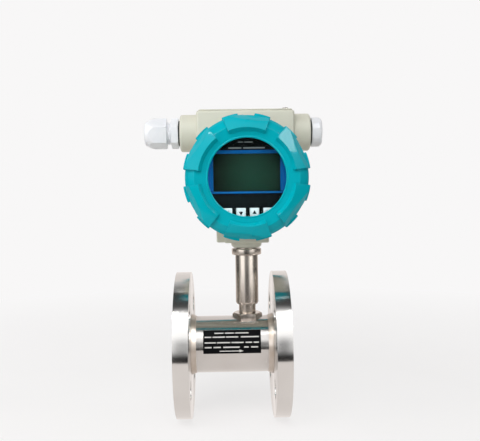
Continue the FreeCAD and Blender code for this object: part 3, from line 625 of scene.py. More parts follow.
def makePlate():
    look = plateLook
    middle = sum(corner.x for corner in nodeBox("name_plate")) / 2
    half, tall = look["width"] / 2, look["height"] / 2
    back, front = look["tube"], look["tube"] + look["thickness"]
    face = look["print"]
    plate = curvedStrip("namePlate", middle - half, middle + half, -tall, tall, back, front - face, 48)
    rounded(plate, 0.2, 2, 60)
    smoothed(plate)
    fitted(plate, "meter", "black_plate", plateBlack, "name_plate")

    # every mark is a start and a length along the plate, a height and a thickness
    marks = [(start, length, height, thick)
             for height, rules, thick in plateRules.values() for start, length in rules]
    arrow, slices = plateArrow, plateArrow["slices"]
    headStart = arrow["end"] - arrow["headLength"]
    sliceLength = arrow["headLength"] / slices
    marks.append((arrow["start"], headStart - arrow["start"], arrow["height"], arrow["shaft"]))
    marks += [(headStart + k * sliceLength, sliceLength, arrow["height"],
               arrow["headWidth"] * (1 - (k + 0.5) / slices)) for k in range(slices)]
    prints = joinAll("plateMarks", [
        curvedStrip("mark", middle + start, middle + start + length, height - thick / 2, height + thick / 2,
                    front - 2 * face, front, 3) for start, length, height, thick in marks])
    cleanShell(prints)
    fitted(prints, "meter", "black_plate", plateSilver)


makePlate()
print("Name plate done")


# Stem

stemLook = {"bossFlats": 25.0, "bossFoot": 14.0, "bossTop": 30.5, "bossTurn": 3.0, "bossChamfer": 1.3,
            "chamferWidth": 1.6, "pin": 16.4, "sleeve": 22.0, "sleeveChamfer": 2.0, "sleeveStep": 84.0,
            "wireHole": 6.0, "collar": 28.7, "collarGap": 0.08, "spigot": 19.8, "segments": 128}


def makeBoss():
    look = stemLook
    foot, top = look["bossFoot"], look["bossTop"]
    boss = prism("sensorBoss", 6, look["bossFlats"], top - foot, stem + axisZ * foot, axisZ, look["bossTurn"])
    corner = look["bossFlats"] / math.sqrt(3)
    outside, under = corner + 0.1, foot - 4 * past
    mantle = [(0, under), (outside, under), (outside, top - look["bossChamfer"]),
              (corner - look["chamferWidth"], top), (0, top)]
    carved(boss, turned("mantle", mantle, stem, axisZ, 96), "INTERSECT")
    carved(boss, prism("tubeTool", 192, tubeLook["outer"] - 0.1, 60, stem - axisX * 30, axisX))
    carved(boss, prism("pinTool", 64, look["pin"] + 0.1, 40, stem, axisZ))
    rounded(boss, 0.25, 2)
    smoothed(boss)
    fitted(boss, "meter", "stainless", stemSteel, "pickup_boss")


makeBoss()


def makePin():
    low, high = nodeBox("pickup")
    pin = turned("sensorPin", ringOutline(0, stemLook["pin"] / 2, low.z, high.z), stem, axisZ,
                 stemLook["segments"])
    smoothed(rounded(pin, 0.7))
    fitted(pin, "meter", "polished_stainless", stemSteel, "pickup")


makePin()


def makeSleeve():
    look = stemLook
    low, high = sleeveLow.z, sleeveHigh.z
    shoulder = collarLow.z - 0.05
    outer, pin, spigot = look["sleeve"] / 2, look["pin"] / 2 + 0.05, look["spigot"] / 2
    chamfer, wires, step = look["sleeveChamfer"], look["wireHole"], look["sleeveStep"]
    profile = [(pin, low), (outer - chamfer / 2, low), (outer, low + chamfer), (outer, shoulder),
               (spigot, shoulder), (spigot, high - 1), (spigot - 1, high),
               (wires, high), (wires, step), (pin, step)]
    sleeve = turned("stemSleeve", profile, stem, axisZ, look["segments"])
    rounded(sleeve, 0.25, 3, 20)
    smoothed(sleeve)
    fitted(sleeve, "meter", "polished_stainless", stemSteel, "stem_sleeve")


makeSleeve()


def makeCollar():
    outer, inner = stemLook["collar"] / 2, stemLook["spigot"] / 2 + stemLook["collarGap"]
    collar = turned("lockCollar", ringOutline(inner, outer, collarLow.z, collarHigh.z), stem, axisZ,
                    stemLook["segments"])
    smoothed(rounded(collar, 0.9, 4))
    fitted(collar, "lock_collar", "polished_stainless", stemSteel, "lock_collar")


makeCollar()
print("Stem done")


# Head casting

headLook = {"spigot": 49.0, "barrel": 53.0, "barrelDepth": 35.0, "spigotEnd": 50.0, "cavity": 44.5,
            "partitionFront": -14.0, "partitionRear": 4.0, "blockWidth": 92.0, "blockDepth": 44.0,
            "entry": 17.8, "entryThread": 10.08, "entryDepth": 14.0, "passage": 7.0,
            "footWidth": 42.0, "footDepth": 36.0, "groundReach": 28.7, "groundWidth": 15.0,
            "groundHeight": 13.0, "neck": 14.7, "neckRound": 2.2, "spigotFit": 9.98, "footGap": 6.05,
            "entryMouth": 62.0, "seatDepth": 11.9, "wireHole": 5.0, "wireReach": 28.0}


def makeCasting():
    look = headLook
    low, high = castingLow, castingHigh
    neckFoot, footBottom = low.z, collarHigh.z + look["footGap"]
    barrel, spigotEnd, cavity = look["barrel"], look["spigotEnd"], look["cavity"]
    casting = turned("headCasting", ringOutline(0, barrel, -look["barrelDepth"], look["barrelDepth"]),
                     head, axisY, 192)
    rounded(casting, 1.0)
    spigots = turned("spigots", ringOutline(0, look["spigot"], -spigotEnd, spigotEnd), head, axisY, 160)
    across, deep = axisX * look["blockWidth"] / 2, axisY * look["blockDepth"] / 2
    top = block("entryBlock", head - across - deep, Vector((stemX, 0, high.z)) + across + deep)
    rounded(top, 2.8, 5, 40)
    entries = turned("entryBosses", ringOutline(0, look["entry"], low.x - stemX, high.x - stemX),
                     entryAxis, axisX, 128)
    rounded(entries, 2.5, 5)
    across, deep = axisX * look["footWidth"] / 2, axisY * look["footDepth"] / 2
    foot = block("foot", stem + axisZ * footBottom - across - deep,
                 head - axisZ * barrel / 2 + across + deep)
    rounded(foot, 1.5, 4, 40)
    ground = block("groundBoss", (stemX - look["groundReach"], -look["groundWidth"] / 2, footBottom + 0.02),
                   (stemX, look["groundWidth"] / 2, footBottom + 2 * look["groundHeight"]))
    rounded(ground, 1.5, 4, 40)
    edge = look["neckRound"]
    neck = turned("neck", [(0, neckFoot), (look["neck"] - edge, neckFoot), (look["neck"], neckFoot + edge),
                           (look["neck"], footBottom + past), (0, footBottom + past)], stem, axisZ, 128)
    rounded(neck, 1.2, 4, 20)
    for part in (spigots, top, entries, foot, ground, neck):
        carved(casting, part, "UNION")

    # front and rear compartments, the passage between the entries, and the neck's stepped bore
    thread, passage, mouth = look["entryThread"], look["passage"], look["entryMouth"]
    step, beyond = mouth - look["entryDepth"], mouth + 8 * past
    neckStart, seat, wires = neckFoot - past, neckFoot + look["seatDepth"], look["wireHole"]
    hollows = [
        (ringOutline(0, cavity, -spigotEnd - past, look["partitionFront"]), head, axisY, 128),
        (ringOutline(0, cavity, look["partitionRear"], spigotEnd + past), head, axisY, 128),
        ([(0, -beyond), (thread, -beyond), (thread, -step), (passage, -step), (passage, step), (thread, step),
          (thread, beyond), (0, beyond)], entryAxis, axisX, 64),
        ([(0, neckStart), (look["spigotFit"], neckStart), (look["spigotFit"], seat), (wires, seat),
          (wires, neckFoot + look["wireReach"]), (0, neckFoot + look["wireReach"])], stem, axisZ, 64)]
    for outline, place, axis, segments in hollows:
        carved(casting, turned("hollow", outline, place, axis, segments))
    smoothed(casting, 38)
    fitted(casting, "head", "cream_paint", creamCoat, "housing")


makeCasting()

topPlateLook = {"corner": 3.5, "edge": 0.3}


def makeTopPlate():
    low, high = nodeBox("top_plate")
    plate = block("topPlate", low, high)
    # the four upright corners are rounded first, then the rims
    chooseOnly(plate)
    bpy.ops.object.mode_set(mode="EDIT")
    bpy.ops.mesh.select_mode(type="EDGE")
    bpy.ops.mesh.select_all(action="DESELECT")
    bpy.ops.object.mode_set(mode="OBJECT")
    for edge in plate.data.edges:
        first, second = (plate.data.vertices[k].co for k in edge.vertices)
        edge.select = abs(first.z - second.z) > 0.5 * mm
    bpy.ops.object.mode_set(mode="EDIT")
    bpy.ops.mesh.bevel(offset=topPlateLook["corner"] * mm, segments=6)
    bpy.ops.object.mode_set(mode="OBJECT")
    smoothed(rounded(plate, topPlateLook["edge"], 2, 40))
    fitted(plate, "head", "cream_paint", creamCoat, "top_plate")


makeTopPlate()


screwLook = {"top": 6.5, "ground": 7.0, "height": 1.6, "slot": 0.8}


def slottedScrew(name, place, axis, size, height, slotTurn):
    # pan head with a rounded crown and one slot
    radius = size / 2
    crown = turned(name, [(0, 0), (radius, 0), (radius, 0.45 * height), (0.82 * radius, 0.82 * height),
                          (0.5 * radius, height), (0, height)], place, axis, 48)
    halfSlot = screwLook["slot"] / 2
    slot = block("slot", (-radius - past, -halfSlot, 0), (radius + past, halfSlot, height))
    facing = axis.to_track_quat("Z", "Y").to_matrix().to_4x4()
    slot.matrix_world = (Matrix.Translation((place + axis * 0.45 * height) * mm) @ facing
                         @ Matrix.Rotation(math.radians(slotTurn), 4, "Z"))
    applyPlace(slot)
    carved(crown, slot)
    rounded(crown, 0.08, 2, 40)
    smoothed(crown, 40)
    return crown


def makeHeadScrews():
    look = screwLook
    size, tall = look["top"], look["height"]
    low, high = nodeBox("top_screws")
    near, far = low + Vector((1, 1, 0)) * size / 2, high - Vector((1, 1, 0)) * size / 2
    screws = [slottedScrew("topScrew", Vector((x, y, high.z - tall)), axisZ, size, tall, turn)
              for x, y, turn in ((near.x, far.y, 25), (far.x, near.y, 70))]
    fitted(joinAll("topScrews", screws), "head", "screw_steel", screwZinc, "top_screws")
    low, high = nodeBox("ground_screw")
    place = Vector(((low.x + high.x) / 2, high.y - tall, (low.z + high.z) / 2))
    screw = slottedScrew("groundScrew", place, axisY, look["ground"], tall, 40)
    fitted(screw, "head", "screw_steel", screwZinc, "ground_screw")


makeHeadScrews()
print("Head casting done")


# Covers

coverLook = {"segments": 240, "rim": 55.5, "mouth": 35.4, "front": 60.0, "crest": 56.5, "crestRadius": 47.0,
             "slopeWidth": 2.5, "slopeTop": 5.0, "slopeFoot": 8.5, "spigot": 49.3, "innerFace": 50.3,
             "seal": 51.7, "sealBack": 38.0, "window": 34.8, "lipWidth": 1.6, "lip": 54.5, "lipBead": 0.7,
             "pocket": 37.35, "pocketEnd": 52.5, "wall": 40.85, "ringBack": 43.5, "plainFace": 53.0,
             "plainSlope": 10.0, "edge": 0.7, "ringInset": 1.1}
gripLook = {"count": 6, "width": 44.0, "inner": 43.6, "innerFoot": 40.8, "innerTop": 1.2, "outer": 55.8,
            "root": 50.5, "sunk": 2.5, "slope": 0.5, "flatFoot": 54.9, "lean": 0.56, "skew": -6.5,
            "edge": 0.8, "lugCount": 12, "lugOuter": 57.6, "lugWidth": 15.0, "lugLength": 12.0,
            "lugRoot": 53.0, "lugEdge": 0.8}


def makeGrip(out):
    # one raised grip block: its inner wall slopes, and its outer side is a flat plane that leans out
    # to the rim, turned a little so that the block narrows towards one end
    look, grip = coverLook, gripLook
    front, foot = look["front"], look["crest"] - look["slopeFoot"]
    slopeEnd = front - grip["slope"] * (grip["outer"] - grip["inner"])
    sunk = look["rim"] - grip["sunk"]
    outline = [(grip["innerFoot"], grip["root"]), (grip["innerFoot"], look["crest"] - grip["innerTop"]),
               (grip["inner"], front), (grip["outer"], slopeEnd), (grip["outer"], foot), (sunk, foot),
               (sunk, grip["root"])]
    sector = turned("grip", outline, head, out, 36, grip["width"])
    turnAbout(sector, head, out, -grip["width"] / 2)
    # the plane that trims the block's outer side
    tool = block("leanTool", (-80, -60, 0), (80, 60, 60))
    side = out.cross(axisZ)
    slope = (out - axisZ * grip["lean"]).normalized()
    if side.cross(slope).z < 0:
        side = -side
    facing = Matrix((side, slope, side.cross(slope))).transposed().to_4x4()
    tool.matrix_world = Matrix.Translation((head + out * foot + axisZ * grip["flatFoot"]) * mm) @ facing
    applyPlace(tool)
    carved(sector, turnAbout(tool, head, out, grip["skew"]))
    rounded(sector, grip["edge"], 4, 25)
    return sector


def makeCover(name, out, windowed, node):
    look, grip = coverLook, gripLook
    crest, rim, mouth = look["crest"], look["rim"], look["mouth"]
    outside = [(look["crestRadius"], crest), (rim - look["slopeWidth"], crest - look["slopeTop"]),
               (rim, crest - look["slopeFoot"]), (rim, mouth), (look["seal"], mouth),
               (look["seal"], look["sealBack"]), (look["spigot"], look["sealBack"]),
               (look["spigot"], look["innerFace"])]
    if windowed:
        inside = [(look["wall"], look["innerFace"]), (look["wall"], look["ringBack"]),
                  (look["pocket"], look["ringBack"]), (look["pocket"], look["pocketEnd"]),
                  (look["window"], look["pocketEnd"]), (look["window"], look["lip"]),
                  (look["window"] + look["lipWidth"] / 2, look["lip"] + look["lipBead"]),
                  (look["window"] + look["lipWidth"], look["lip"])]
        shell = turned(name, outside + inside, head, out, look["segments"])
    else:
        inside = [(0, look["innerFace"]), (0, look["plainFace"]),
                  (look["crestRadius"] - look["plainSlope"], look["plainFace"])]
        shell = turned(name, inside[1:] + outside + inside[:1], head, out, look["segments"])
    rounded(shell, look["edge"], 3, 12)
    grips = ringOf(makeGrip(out), grip["count"], head, out)
    outline = ringOutline(grip["lugRoot"], grip["lugOuter"], mouth, mouth + grip["lugLength"])
    lug = turned("lug", outline, head, out, 14, grip["lugWidth"])
    turnAbout(lug, head, out, 180 / grip["lugCount"] - grip["lugWidth"] / 2)
    rounded(lug, grip["lugEdge"], 3, 25)
    cover = joinAll(name, [shell] + grips + ringOf(lug, grip["lugCount"], head, out))
    smoothed(cover, 30)
    fitted(cover, node, "teal_paint", tealEnamel, node)


makeCover("frontCover", -axisY, True, "front_cover")
makeCover("rearCover", axisY, False, "rear_cover")

sealLook = {"middle": 50.5, "radius": 1.12, "away": 36.7, "squeeze": 0.96}


def makeCoverSeal(name, out, node):
    look = sealLook
    middle = (head + out * look["away"]) * mm
    bpy.ops.object.select_all(action="DESELECT")
    bpy.ops.mesh.primitive_torus_add(major_radius=look["middle"] * mm, minor_radius=look["radius"] * mm,
                                     major_segments=160, minor_segments=16)
    ring = bpy.context.object
    ring.name = name
    ring.matrix_world = Matrix.Translation(middle) @ out.to_track_quat("Z", "Y").to_matrix().to_4x4()
    applyPlace(ring)
    # squeezed a little flat between the cover and the shoulder
    editAll(ring)
    bpy.ops.transform.resize(value=(1, look["squeeze"], 1), center_override=middle)
    bpy.ops.object.mode_set(mode="OBJECT")
    smoothed(ring, 60)
    fitted(ring, node, "seal_rubber", rubber, node)


makeCoverSeal("frontSealRing", -axisY, "front_seal")
makeCoverSeal("rearSealRing", axisY, "rear_seal")


def makeWindowDisc(name, node, inner, edge, segments, slotName, material):
    # the pane, its seal and the slim ring are plain discs as wide and deep as their nodes
    low, high = nodeBox(node)
    disc = turned(name, ringOutline(inner, (high.x - low.x) / 2, low.y, high.y), head, axisY, 160)
    smoothed(rounded(disc, edge, segments))
    return fitted(disc, "front_cover", slotName, material, node)


opening = coverLook["window"] + coverLook["ringInset"]
pane = makeWindowDisc("windowPane", "window_glass", 0, 0.5, 3, "glass", clearGlass)
pane.visible_shadow = False
makeWindowDisc("windowRing", "window_ring", opening, 0.3, 2, "ring_black", ringBlack)
makeWindowDisc("windowSealRing", "window_seal", opening, 0.15, 2, "seal_rubber", rubber)
print("Covers done")


# Display

faceLook = {"plate": 43.5, "lcdWidth": 59.0, "lcdHeight": 33.0, "lcdRise": 4.5, "lcdFront": -41.1,
            "lcdThickness": 0.9, "carrier": 1.2, "gap": 0.06, "ink": 0.04, "inkSunk": 0.02, "inkMargin": 0.3,
            "bandTop": 3.0, "bandSide": 12.0, "bandFoot": 1.5, "bandFootGap": 0.4}
keyLook = {"width": 8.2, "height": 8.6, "foot": 1.0, "arrow": 2.3, "arrowDepth": 0.08, "arrowProud": 0.03,
           "edge": 0.45, "turns": {"up": 0, "right": 90, "down": 180, "left": 270}}


def inkPatch(name, left, right, foot, top):
    # a thin printed area on the face plate, measured from the head's axis
    look = faceLook
    return block(name, head + Vector((left, displayFront - look["ink"], foot)),
                 head + Vector((right, displayFront + look["inkSunk"], top)))


def makeFacePrint():
    # the coloured frame round the display, cut off at the round plate's edge
    look = faceLook
    wide, tall, rise = look["lcdWidth"] / 2, look["lcdHeight"] / 2, look["lcdRise"]
    foot, top, edge = rise - tall, rise + tall, look["plate"] - look["inkMargin"]
    under = foot - look["bandFootGap"]
    reach = math.sqrt(look["plate"] ** 2 - (top + look["bandTop"]) ** 2) - look["inkMargin"]
    side = wide + min(look["bandSide"], edge - 0.1 - wide)
    patches = [(-reach, reach, top, top + look["bandTop"]), (-reach, reach, under - look["bandFoot"], under),
               (-side, -wide, foot, top), (wide, side, foot, top)]
    ink = joinAll("faceInk", [inkPatch("ink", *patch) for patch in patches])
    mask = ringOutline(0, edge, displayFront - 2 * past, displayFront + 2 * past)
    carved(ink, turned("mask", mask, head, axisY, 96), "INTERSECT")
    fitted(ink, "head", "face_black", blueInk)


makeFacePrint()
# rows of bare dashes above the display: height above the head's axis, thickness, starts and lengths
titleRules = [(31.0, 1.0, [(-7.5, 4.5), (-2.0, 7.5)]), (25.9, 1.3, [(-16.0, 11.5), (-2.9, 19.0)])]


def makeTitle():
    dashes = [inkPatch("dash", start, start + length, height - thick / 2, height + thick / 2)
              for height, thick, rules in titleRules for start, length in rules]
    fitted(joinAll("faceTitle", dashes), "head", "face_black", titleGrey)


makeTitle()


def makeLcd():
    look = faceLook
    wide, tall = look["lcdWidth"] / 2 - look["gap"], look["lcdHeight"] / 2 - look["gap"]
    middle, front = head + axisZ * look["lcdRise"], look["lcdFront"]
    pane = block("lcdPane", middle + Vector((-wide, front, -tall)),
                 middle + Vector((wide, front + look["lcdThickness"], tall)))
    smoothed(rounded(pane, 0.15, 2))
    fitted(pane, "head", "lcd_green", lcdGreen, "lcd_module")
    low, high = nodeBox("lcd_module")
    carrier = block("lcdCarrier", (low.x, front + look["carrier"], low.z), high)
    smoothed(rounded(carrier, 0.5))
    fitted(carrier, "head", "lcd_green", facePrint)


makeLcd()


def makeKey(name, node, pointing):
    look = keyLook
    low, high = nodeBox(node)
    middle = (low + high) / 2
    wide, tall = look["width"] / 2, look["height"] / 2
    key = block(name, (middle.x - wide, low.y, middle.z - tall), (middle.x + wide, high.y, middle.z + tall))
    carved(key, block("foot", (low.x, high.y - look["foot"], low.z), high), "UNION")
    smoothed(rounded(key, look["edge"]))
    fitted(key, node, "key_silver", keySilver, node)
    face = Vector((middle.x, low.y - look["arrowProud"], middle.z))
    arrow = prism(name + "Mark", 3, look["arrow"], look["arrowDepth"], face, axisY, look["turns"][pointing])
    fitted(arrow, node, "key_silver", arrowInk)


for pointing in ("left", "down", "up", "right"):
    makeKey(pointing + "Key", pointing + "_key", pointing)
print("Display done")


# Cable gland and plug

glandLook = {"flats": 25.4, "flange": 6.7, "corner": 0.9, "turn": -10.0, "thread": 21.0, "threadPitch": 1.8,
             "threadDepth": 0.55, "threads": 7, "seen": 4.4, "domeFlats": 25.6, "domeStraight": 13.0,
             "domeTaper": 8.0, "domeEnd": 23.6, "domeBore": 10.6, "domeSeat": 11.0, "mouth": 14.0,
             "inner": 9.95, "innerHole": 5.6, "innerLength": 12.0, "insert": 15.0, "bore": 10.0,
             "insertLength": 16.8, "insertGap": 0.4}
entryLook = {"inner": 10.1, "outer": 12.0, "seal": 1.6, "clear": 0.02}


def makeEntrySeal(name, place, out, body, node):
    # it starts just clear of the casting, so that the two faces don't lie in one plane
    look = entryLook
    outline = ringOutline(look["inner"], look["outer"], look["clear"], look["seal"])
    ring = turned(name, outline, place, out, 96)
    smoothed(rounded(ring, 0.6, 4), 50)
    fitted(ring, body, "seal_rubber", rubber, node)


def makeGland():
    look = glandLook
    out = -axisX
    place = Vector((nodeBox("gland_seal")[1].x, 0, entryAxis.z))
    makeEntrySeal("glandSealRing", place, out, "head", "gland_seal")
    face = place + out * entryLook["seal"]

    # hexagonal flange with its corners turned off
    corner, edge, start = look["flats"] / math.sqrt(3), look["corner"], look["flange"]
    flange = prism("glandBody", 6, look["flats"], start, face, out, look["turn"])
    mantle = [(0, -past), (corner - edge, -past), (corner - edge, 0), (corner + 0.1, edge),
              (corner + 0.1, start - edge), (corner - edge, start), (0, start)]
    carved(flange, turned("mantle", mantle, face, out, 96), "INTERSECT")
    rounded(flange, 0.3)
    # rounded crests of the moulded thread between flange and nut
    crest, root = look["thread"] / 2, look["thread"] / 2 - look["threadDepth"]
    hollow, foot = look["insert"] / 2 + look["insertGap"], start - 0.2
    pitch, count = look["threadPitch"], look["threads"]
    outline = [(hollow, foot), (root, foot)]
    for k in range(count):
        outline += [(radius, start + (k + share) * pitch) for radius, share in
                    ((root, 0.1), (crest, 0.35), (crest, 0.65), (root, 0.9))]
    outline.append((hollow, start + count * pitch))
    thread = turned("glandThread", outline, face, out, 96)
    rounded(thread, 0.12, 2, 25)
    inner = turned("glandInner", ringOutline(look["innerHole"], look["inner"], -look["innerLength"], 0.3),
                   face, out, 96)
    rounded(inner, 0.4, 2)
    body = smoothed(joinAll("glandBody", [flange, thread, inner]), 35)
    fitted(body, "head", "nylon_white", nylon, "gland_body")

    # dome nut: a hexagon that a turned mantle tapers to its mouth
    base = face + out * (start + look["seen"])
    corner, straight = look["domeFlats"] / math.sqrt(3), look["domeStraight"]
    end, whole = look["domeEnd"] / 2, straight + look["domeTaper"]
    dome = prism("domeNut", 6, look["domeFlats"], whole, base, out, look["turn"])
    mantle = [(0, -0.1), (corner - 0.7, -0.1), (corner, 0.7), (corner, straight - 1),
              (corner - 0.8, straight + 1.5), (end + 0.3, whole - 2.6), (end - 0.5, whole - 0.9),
              (end - 2.2, whole), (0, whole)]
    carved(dome, turned("mantle", mantle, base, out, 128), "INTERSECT")
    mouth, bore, seat = look["mouth"] / 2, look["domeBore"], look["domeSeat"]
    hollow = [(0, -past), (bore, -past), (bore, seat), (mouth + 1, seat + 4), (mouth, seat + 4.5),
              (mouth, whole - 1.5), (mouth + 1.2, whole + 0.1), (0, whole + 0.1)]
    carved(dome, turned("bore", hollow, base, out, 96))
    smoothed(rounded(dome, 0.45, 4, 22), 30)
    fitted(dome, "gland_nut", "nylon_white", nylon, "gland_nut")

    near, far = start + 0.3, start + 0.3 + look["insertLength"]
    wide, hole = look["insert"] / 2, look["bore"] / 2
    sleeve = [(hole, near), (wide, near), (wide, far - 4), (wide - 1, far), (hole, far)]
    insert = turned("glandSleeve", sleeve, face, out, 80)
    smoothed(rounded(insert, 0.5, 3, 10), 50)
    fitted(insert, "gland_insert", "seal_rubber", rubber, "gland_insert")


makeGland()

plugLook = {"diameter": 28.0, "length": 9.6, "flat": 0.8, "turn": 10.0, "round": 1.9, "shoulder": 2.4,
            "dishDepth": 0.8, "dishRim": 3.8, "thread": 19.9, "threadLength": 11.0, "threadEdge": 0.6}


def makePlug():
    look = plugLook
    place = Vector((nodeBox("plug_seal")[0].x, 0, entryAxis.z))
    makeEntrySeal("plugSealRing", place, axisX, "plug_seal", "plug_seal")
    face = place + axisX * entryLook["seal"]
    wide, long = look["diameter"] / 2, look["length"]
    plug = prism("blankingPlug", 6, 2 * (wide - look["flat"]), long, face, axisX, look["turn"])
    mantle = turned("mantle", [(0, -0.1), (wide - 0.4, -0.1), (wide, 0.4), (wide, long - look["shoulder"]),
                               (wide - look["round"], long), (0, long)], face, axisX, 128)
    rounded(mantle, 1.2, 4, 20)
    carved(plug, mantle, "INTERSECT")
    rim, floor = wide - look["dishRim"], long - look["dishDepth"]
    carved(plug, turned("dish", [(0, floor), (rim - 0.6, floor), (rim, long + 0.1), (0, long + 0.1)],
                        face, axisX, 96))
    rounded(plug, 0.35, 3, 25)
    crest, tip, edge = look["thread"] / 2, -look["threadLength"], look["threadEdge"]
    outline = [(0, tip), (crest - edge, tip), (crest, tip + edge), (crest, 0.2), (0, 0.2)]
    thread = turned("plugThread", outline, face, axisX, 96)
    plug = smoothed(joinAll("blankingPlug", [plug, thread]), 30)
    fitted(plug, "blanking_plug", "nylon_white", nylon, "blanking_plug")


makePlug()
print("Gland and plug done")


# Finishes for the CAD nodes that stay

keptFinishes = {
    "upstream_guide": tubeSteel, "downstream_guide": tubeSteel, "inlet_retaining_ring": screwZinc,
    "outlet_retaining_ring": screwZinc, "bearing_bushes": bearingSteel, "thrust_rings": bearingSteel,
    "rotor": rotorSteel, "rotor_shaft": rotorSteel, "face_plate": facePrint,
    "display_board": boardGreen, "display_posts": postBrass, "display_screws": screwZinc,
    "terminal_block": terminalGreen, "terminal_screws": screwZinc}
for node, material in keptFinishes.items():
    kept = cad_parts[node]
    if kept.material_slots:
        for slot in kept.material_slots:
            slot.material = material
    else:
        kept.data.materials.append(material)
print("Kept nodes finished")


# Stage, light and camera

stageLook = {"floor": -70.0, "front": -300.0, "side": 1500.0, "back": 1500.0, "bend": 500.0, "wall": 2200.0,
             "bendSteps": 12, "color": "#F0EEEC", "cloud": "#EAE8E6", "seen": "#F8F7F7", "near": "#FFFEFE",
             "mirrored": "#F7F0EC", "share": 0.69, "mirroredShare": 0.95, "fadeStart": 250.0,
             "fadeEnd": 900.0}


def makeStage():
    look = stageLook
    bpy.ops.object.select_all(action="DESELECT")
    bpy.ops.mesh.primitive_plane_add(size=1)
    floor = bpy.context.object
    floor.name = "studioFloor"
    side, front, back = look["side"] * mm, look["front"] * mm, look["back"] * mm
    floor.scale = (2 * side, back - front, 1)
    floor.location = (stemX * mm, (front + back) / 2, look["floor"] * mm)
    applyPlace(floor)
    # the far edge is pulled up into a curved backdrop
    pickVertices(floor, lambda vertex: vertex.co.y > back - 0.001)
    bend, steps = look["bend"] * mm, look["bendSteps"]
    for k in range(steps):
        near, far = math.pi / 2 * k / steps, math.pi / 2 * (k + 1) / steps
        bpy.ops.mesh.extrude_region_move(TRANSFORM_OT_translate={"value": (
            0, bend * (math.sin(far) - math.sin(near)), bend * (math.cos(near) - math.cos(far)))})
    bpy.ops.mesh.extrude_region_move(TRANSFORM_OT_translate={"value": (0, 0, look["wall"] * mm)})
    bpy.ops.object.mode_set(mode="OBJECT")
    smoothed(floor, 30)
    # matt paper; seen directly or mirrored it is lit evenly, and its shadow still shows
    material, tree, shader, coords = newMaterial("paperSweep", look["color"], 0.0, 0.85,
                                                 Specular_IOR_Level=0.1)
    clouds = spread(tree, noiseOf(tree, coords, 160.0), 0.0, 1.0)
    finishColor(tree, shader, clouds, look["color"], look["cloud"])
    away = addNode(tree, "ShaderNodeVectorMath", {"operation": "LENGTH"}, {
        0: centredOn(tree, coords, stem + axisZ * look["floor"])}).outputs["Value"]
    near, far = look["fadeStart"] * mm, look["fadeEnd"] * mm
    path = addNode(tree, "ShaderNodeLightPath").outputs
    direct = mathOf(tree, "MAXIMUM", mathOf(tree, "MAXIMUM", path["Is Camera Ray"], path["Is Glossy Ray"]),
                    path["Is Transmission Ray"])
    even = blendColors(tree, spread(tree, away, 0.0, 1.0, near, far), look["near"], look["seen"])
    tinted = blendColors(tree, path["Is Glossy Ray"], even, look["mirrored"])
    glow = addNode(tree, "ShaderNodeEmission", inputs={"Color": tinted})
    share = mathOf(tree, "MAXIMUM", spread(tree, away, look["share"], 1.0, near, far),
                   mathOf(tree, "MULTIPLY", path["Is Glossy Ray"], look["mirroredShare"]))
    mix = addNode(tree, "ShaderNodeMixShader", inputs={0: mathOf(tree, "MULTIPLY", direct, share),
                                                       1: shader.outputs[0], 2: glow.outputs[0]})
    tree.links.new(mix.outputs[0], tree.nodes["Material Output"].inputs["Surface"])
    floor.data.materials.append(material)


makeStage()


worldLook = {"seen": "#F8F7F7", "room": 0.42, "wallTop": 0.3, "wallFade": 0.1, "open": 1.0}
# what polished steel mirrors: brightness by bearing, from behind the meter over its left side, the
# front at 0.5 and the right side; dark where the camera stands
roomBands = [(0.0, 1.0), (0.11, 0.9), (0.15, 0.12), (0.24, 0.15), (0.31, 0.8), (0.345, 2.2), (0.415, 2.1),
             (0.45, 0.6), (0.47, 0.2), (0.53, 0.2), (0.56, 0.9), (0.59, 1.6), (0.65, 1.5), (0.69, 0.3),
             (0.72, 0.12), (0.80, 0.12), (0.84, 0.3), (0.90, 0.9), (1.0, 1.0)]
# and by slope in the upright plane across the flow, the floor's side at 0, the front at 0.5 and straight
# up at 0.75
roomRise = [(0.0, 0.02), (0.462, 0.02), (0.476, 0.08), (0.482, 0.35), (0.497, 0.9), (0.506, 1.0),
            (0.542, 1.1), (0.578, 1.5), (0.66, 1.55), (0.67, 1.0), (0.682, 0.4), (0.70, 0.08),
            (0.786, 0.05), (0.811, 0.3), (0.844, 0.65), (0.875, 0.85), (1.0, 0.9)]


def bearingOf(tree, across, depth):
    # share of a full turn round an axis, with the front at a half
    turn = mathOf(tree, "ARCTAN2", across, mathOf(tree, "MULTIPLY", depth, -1.0))
    return mathOf(tree, "ADD", mathOf(tree, "DIVIDE", turn, math.tau), 0.5)


def rampOf(tree, factor, bands):
    ramp = addNode(tree, "ShaderNodeValToRGB", inputs={"Fac": factor})
    elements = ramp.color_ramp.elements
    while len(elements) < len(bands):
        elements.new(0.5)
    for element, (position, level) in zip(elements, bands):
        element.position = position
        element.color = (level / 2, level / 2, level / 2, 1)
    # the ramp holds half of each level
    return mathOf(tree, "MULTIPLY", ramp.outputs["Color"], 2.0)


